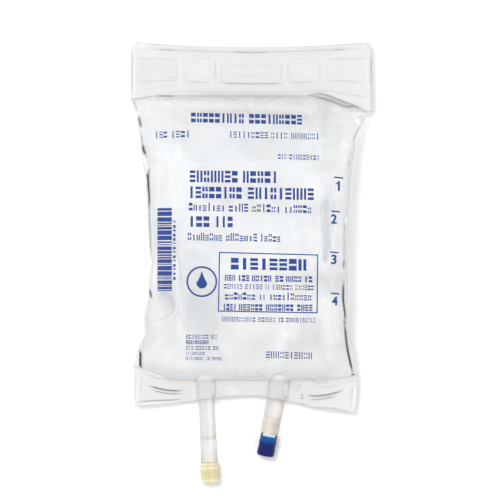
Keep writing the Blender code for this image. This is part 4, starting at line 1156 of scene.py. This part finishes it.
membraneLook = {
    "roughness": 0.3, "clear": 0.5, "ior": 1.4,
    "across": [(-1.0, 0.84), (-0.8, 0.97), (0.0, 1.0), (0.8, 0.98), (1.0, 0.86)],
    # along: the darker stops at 1.2 mm and from 3.4 to 4.0 mm are painted shade in the two grooves
    "along": [(0.0, (0.84, 0.78, 0.69)), (0.5, (0.94, 0.90, 0.83)), (1.2, (0.80, 0.74, 0.65)),
              (1.8, (0.95, 0.92, 0.88)), (3.0, (0.93, 0.89, 0.84)), (3.4, (0.76, 0.69, 0.59)),
              (4.0, (0.80, 0.74, 0.65)), (4.4, (0.94, 0.90, 0.85)), (8.6, (0.92, 0.88, 0.82)),
              (17.3, (0.92, 0.88, 0.81))],
}
capLook = {
    "roughness": 0.2, "ior": 1.28, "grain": 0.08,
    # pale is painted light showing through the thin skirt's middle near the mouth, between the darker
    # corners; across darkens both sides as painted shade
    "pale": (0.66, 0.80, 0.94), "skirt": (0.9, 2.0), "ear": (0.66, 0.80),
    "across": [(-1.0, 0.35), (-0.86, 0.7), (-0.7, 1.0), (0.7, 1.0), (0.86, 0.7), (1.0, 0.35)],
    "along": [(0.0, (0.006, 0.025, 0.11)), (1.8, (0.007, 0.035, 0.15)), (2.4, (0.012, 0.10, 0.36)),
              (3.4, (0.01, 0.08, 0.33)), (4.6, (0.008, 0.06, 0.28)), (5.0, (0.006, 0.03, 0.20)),
              (6.6, (0.012, 0.018, 0.15)), (8.0, (0.006, 0.016, 0.13)), (9.4, (0.014, 0.014, 0.15)),
              (12.7, (0.005, 0.011, 0.095))],
}


def makeCapMaterial():
    material, tree, shader = newMaterial("blueCap")
    fine = grain(tree, tubeGrain["scale"], capLook["grain"])
    along, across = attribute(tree, "along"), attribute(tree, "across")
    # the pale colour goes where painted light shows through the skirt's middle, near the mouth
    skirt = span(tree, along, 1, 0, *capLook["skirt"])
    middle = span(tree, calc(tree, "ABSOLUTE", across), 1, 0, *capLook["ear"])
    seen = calc(tree, "MULTIPLY", skirt, middle)
    ramps = ramp(tree, along, capLook["along"]), ramp(tree, across, capLook["across"])
    body = blend(tree, 1.0, *ramps, "MULTIPLY")
    dress(tree, shader, Base_Color=blend(tree, seen, body, capLook["pale"]), Normal=fine.outputs["Normal"],
          Roughness=capLook["roughness"], Metallic=0.0, IOR=capLook["ior"])
    return material


portShape = {
    "steps": 72, "sharp": 35, "edge": 0.25 * mm, "gap": 0.1 * mm,
    "bead": 0.12 * mm, "beadLength": 1.2 * mm, "spigot": 7.5 * mm,
    "plugRadius": 3.0 * mm, "plugLength": 6.0 * mm, "headRound": 1.0 * mm, "dishRadius": 2.8 * mm,
    "dishDepth": 0.5 * mm, "collar": 1.4 * mm, "ribs": 28, "ribDepth": 0.16 * mm,
    "ribsFrom": 2.6 * mm, "ribsRise": 0.2 * mm, "ribsEnd": 2.0 * mm,
    "membraneFrom": 3.4 * mm, "membrane": 0.8 * mm, "grooveDepth": 0.25 * mm, "noseWall": 0.55 * mm,
    "grooveStops": (1.0 * mm, 1.2 * mm, 1.6 * mm, 1.8 * mm),
    "capWall": 0.5 * mm, "capEnd": 1.8 * mm, "capRound": 1.5 * mm,
    "capRings": [(0.15, 0.0), (0.28, 0.1), (0.36, 1.0), (0.42, 0.9), (0.46, 0.45), (0.55, 0.3), (0.62, 0.4),
                 (0.66, 0.85), (0.72, 1.0), (0.76, 0.75), (0.80, 1.0)],  # shares of length and of rise
}


def rounded(end, outer, radius, steps=6):  # a quarter round from the side to the end of a turned profile
    turns = [math.pi / 2 * step / steps for step in range(steps + 1)]
    return [(end - radius * (1 - math.sin(turn)), outer - radius * (1 - math.cos(turn))) for turn in turns]


def addPort(name, piece, profile, place, material, steps=portShape["steps"], body="bag", closed=False,
            shape=None):
    # spins (distance out, radius) points round the port's axis, and notes how far along and across each lies
    bm = bmesh.new()
    along, across = (bm.verts.layers.float.new(key) for key in ("along", "across"))
    verts = [bm.verts.new((radius, 0, distance)) for distance, radius in profile]
    edges = [bm.edges.new(pair) for pair in zip(verts, verts[1:])]
    if closed:
        edges.append(bm.edges.new((verts[-1], verts[0])))
    bmesh.ops.spin(bm, geom=verts + edges, cent=(0, 0, 0), axis=(0, 0, 1), angle=2 * math.pi,
                   steps=steps, use_merge=True)
    bmesh.ops.remove_doubles(bm, verts=bm.verts, dist=mergeWithin["turned"])
    start = min(distance for distance, radius in profile)
    widest = max(radius for distance, radius in profile)
    for vert in bm.verts:
        vert[along] = (vert.co.z - start) / mm
        vert[across] = -vert.co.x / widest
    if shape is not None:
        shape(bm)
    outwards(bm)
    made = finishMesh(name, bm, material, place, body, portShape["sharp"])
    if piece:
        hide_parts(piece)


def addPortFluid(name, place, start, bore, low, channel, end):  # in a tube, and on in the narrower one
    gap = portShape["gap"]
    addPort(name, None, [
        (start, 0), (start, bore - gap), (low - gap, bore - gap), (low - gap, channel - gap),
        (end - gap, channel - gap), (end - gap, 0)], place, fluidMaterial)


def makeInjectionPort():
    shape, place = portShape, injectionPlace
    edge, gap, bead = shape["edge"], shape["gap"], shape["bead"]
    start, end, bore, outer = measured("injection_tube", place)
    low, high, channel, body = measured("injection_sleeve", place)
    head, tip, _, widest = measured("injection_bung", place)
    addPort("injectionTube", "injection_tube", [
        (start, bore), (start, outer - edge), (start + edge, outer), (end - shape["beadLength"], outer),
        (end - 0.75 * shape["beadLength"], outer + bead), (end - edge, outer + bead), (end, outer - edge / 2),
        (end, bore)], place, makeTubeMaterial("milkyTube", milkyLook), closed=True)

    seat = low + shape["spigot"]
    pocket = shape["plugRadius"] + 3 * gap
    floor = head - 5 * gap
    addPort("injectionSleeve", "injection_sleeve", [
        (low, channel), (low, bore - 3 * gap), (seat, bore - 3 * gap), (seat, body - edge),
        (seat + edge, body), (high - 3 * edge, body), (high - 2 * edge, body + bead),
        (high - edge, body + bead), (high, body - edge), (high, pocket), (floor, pocket), (floor, channel)],
        place, makeTubeMaterial("clearSleeve", sleeveLook), closed=True)

    shoulder = head + shape["plugLength"]
    plug, dish, deep = shape["plugRadius"], shape["dishRadius"], shape["dishDepth"]
    collar, ribs, rise = shoulder + shape["collar"], shoulder + shape["ribsFrom"], shape["ribsRise"]

    def rib(bm):
        for vert in bm.verts:
            radius = math.hypot(vert.co.x, vert.co.y)
            if radius > widest - 2 * gap and vert.co.z > ribs:
                wave = 0.5 - 0.5 * math.cos(shape["ribs"] * math.atan2(vert.co.y, vert.co.x))
                vert.co.xy *= 1 - shape["ribDepth"] * wave / radius

    addPort("injectionBung", "injection_bung", [
        (head, 0), (head, plug - 2 * edge), (head + 2 * edge, plug), (shoulder, plug),
        (shoulder, widest - edge), (shoulder + edge, widest), (collar - edge, widest),
        (collar, widest - 0.8 * edge), (collar + edge, widest), (ribs - rise, widest), (ribs + rise, widest),
        (tip - shape["ribsEnd"], widest),
        *rounded(tip, widest, shape["headRound"]), (tip, dish), (tip - deep, dish - deep), (tip - deep, 0)],
        place, makeTubeMaterial("creamRubber", bungLook), steps=8 * shape["ribs"], shape=rib)

    addPortFluid("injectionFluid", place, start, bore, low, channel, head)


def makeSpikePort():
    shape, place = portShape, spikePlace
    edge, gap = shape["edge"], shape["gap"]
    start, end, bore, outer = measured("spike_tube", place)
    low, high, channel, body = measured("membrane_tube", place)
    mouth, tip, _, widest = measured("pull_off_cap", place)
    addPort("spikeTube", "spike_tube", [
        (start, bore), (start, outer - edge), (start + edge, outer), (end - edge, outer), (end, outer - edge),
        (end, bore)], place, makeTubeMaterial("tintedTube", spikeLook), closed=True)

    top = low + shape["membraneFrom"]
    far = top + shape["membrane"]
    groove, nose = body - shape["grooveDepth"], channel + shape["noseWall"]
    addPort("membraneTube", "membrane_tube", [
        (top, 0), (top, channel), (low, channel), (low, body - edge), (low + edge, body),
        *[(low + stop, radius) for stop, radius in zip(shape["grooveStops"], (body, groove, groove, body))],
        (top - edge, body), (top, groove), (far, groove), (far + edge, body), (end, body), (end, nose),
        (high - edge, nose), (high, nose - edge), (high, channel), (far, channel), (far, 0)],
        place, makeTubeMaterial("tanTube", membraneLook))

    inner = nose + 3 * gap
    wall = inner + shape["capWall"]
    rings = [(mix(mouth, tip, share), mix(wall, widest, rise)) for share, rise in shape["capRings"]]
    addPort("pullOffCap", "pull_off_cap", [
        (tip - shape["capEnd"], 0), (tip - shape["capEnd"], inner), (mouth, inner), (mouth, wall - edge),
        (mouth + edge, wall), *rings, *rounded(tip, widest, shape["capRound"], 8), (tip, 0)],
        place, makeCapMaterial(), body="cap")

    addPortFluid("spikeFluid", place, start, bore, low, channel, top)


makeInjectionPort()
makeSpikePort()
print("ports done")


# Floor, light and camera
stageLook = {
    "floorColour": (0.80, 0.80, 0.80), "floorGlow": 0.21, "floorSize": 8.0, "floorBelow": 0.05 * mm,
    "worldStrength": 0.69, "keyWatts": 12.0, "keySize": 0.4, "keyPlace": (-0.36, 0.30, 1.48),
}


def makeFloor():
    material, tree, shader = newMaterial("paleFloor")
    light = node(tree, "ShaderNodeLightPath").outputs
    seen = calc(tree, "MAXIMUM", light["Is Camera Ray"], light["Is Glossy Ray"])
    seen = calc(tree, "MAXIMUM", seen, light["Is Transmission Ray"])
    dress(tree, shader, Base_Color=(*stageLook["floorColour"], 1), Roughness=0.9, Specular_IOR_Level=0.0,
          Emission_Color=(1, 1, 1, 1), Emission_Strength=calc(tree, "MULTIPLY", seen, stageLook["floorGlow"]))
    bm = bmesh.new()
    bmesh.ops.create_grid(bm, x_segments=4, y_segments=4, size=stageLook["floorSize"] / 2)
    floor = linked("floor", meshFrom("floor", bm, material))
    floor.location.z = -stageLook["floorBelow"]


def makeLight():
    world = bpy.data.worlds.new("paleRoom")
    bpy.context.scene.world = world
    world.use_nodes = True
    tree = world.node_tree
    seen = node(tree, "ShaderNodeLightPath").outputs["Is Camera Ray"]
    fill(tree, tree.nodes["Background"].inputs,
         {"Color": (1, 1, 1, 1), "Strength": span(tree, seen, stageLook["worldStrength"], 1.0)})
    lamp = bpy.data.lights.new("softbox", "AREA")
    lamp.energy = stageLook["keyWatts"]
    lamp.size = stageLook["keySize"]
    key = linked("softbox", lamp)
    key.location = stageLook["keyPlace"]
    key.visible_glossy = False
    key.rotation_euler = (-Vector(stageLook["keyPlace"])).to_track_quat("-Z", "Y").to_euler()


cameraLook = {"height": 5.0, "sensor": 36.0, "aim": 0.02, "clip": 20.0}


def makeCamera():
    lens = bpy.data.cameras.new("overhead")
    camera = linked("overhead", lens)
    camera.location = (*fromPhoto(photo["middle"], photo["middle"]), cameraLook["height"])
    wide = 2 * photo["middle"] * photo["pixel"]
    lens.sensor_width = cameraLook["sensor"]
    lens.lens = cameraLook["sensor"] * (cameraLook["height"] - cameraLook["aim"]) / wide
    lens.clip_end = cameraLook["clip"]
    bpy.context.scene.camera = camera


makeFloor()
makeLight()
makeCamera()
bpy.context.scene.view_settings.view_transform = "Standard"

print("scene ready")
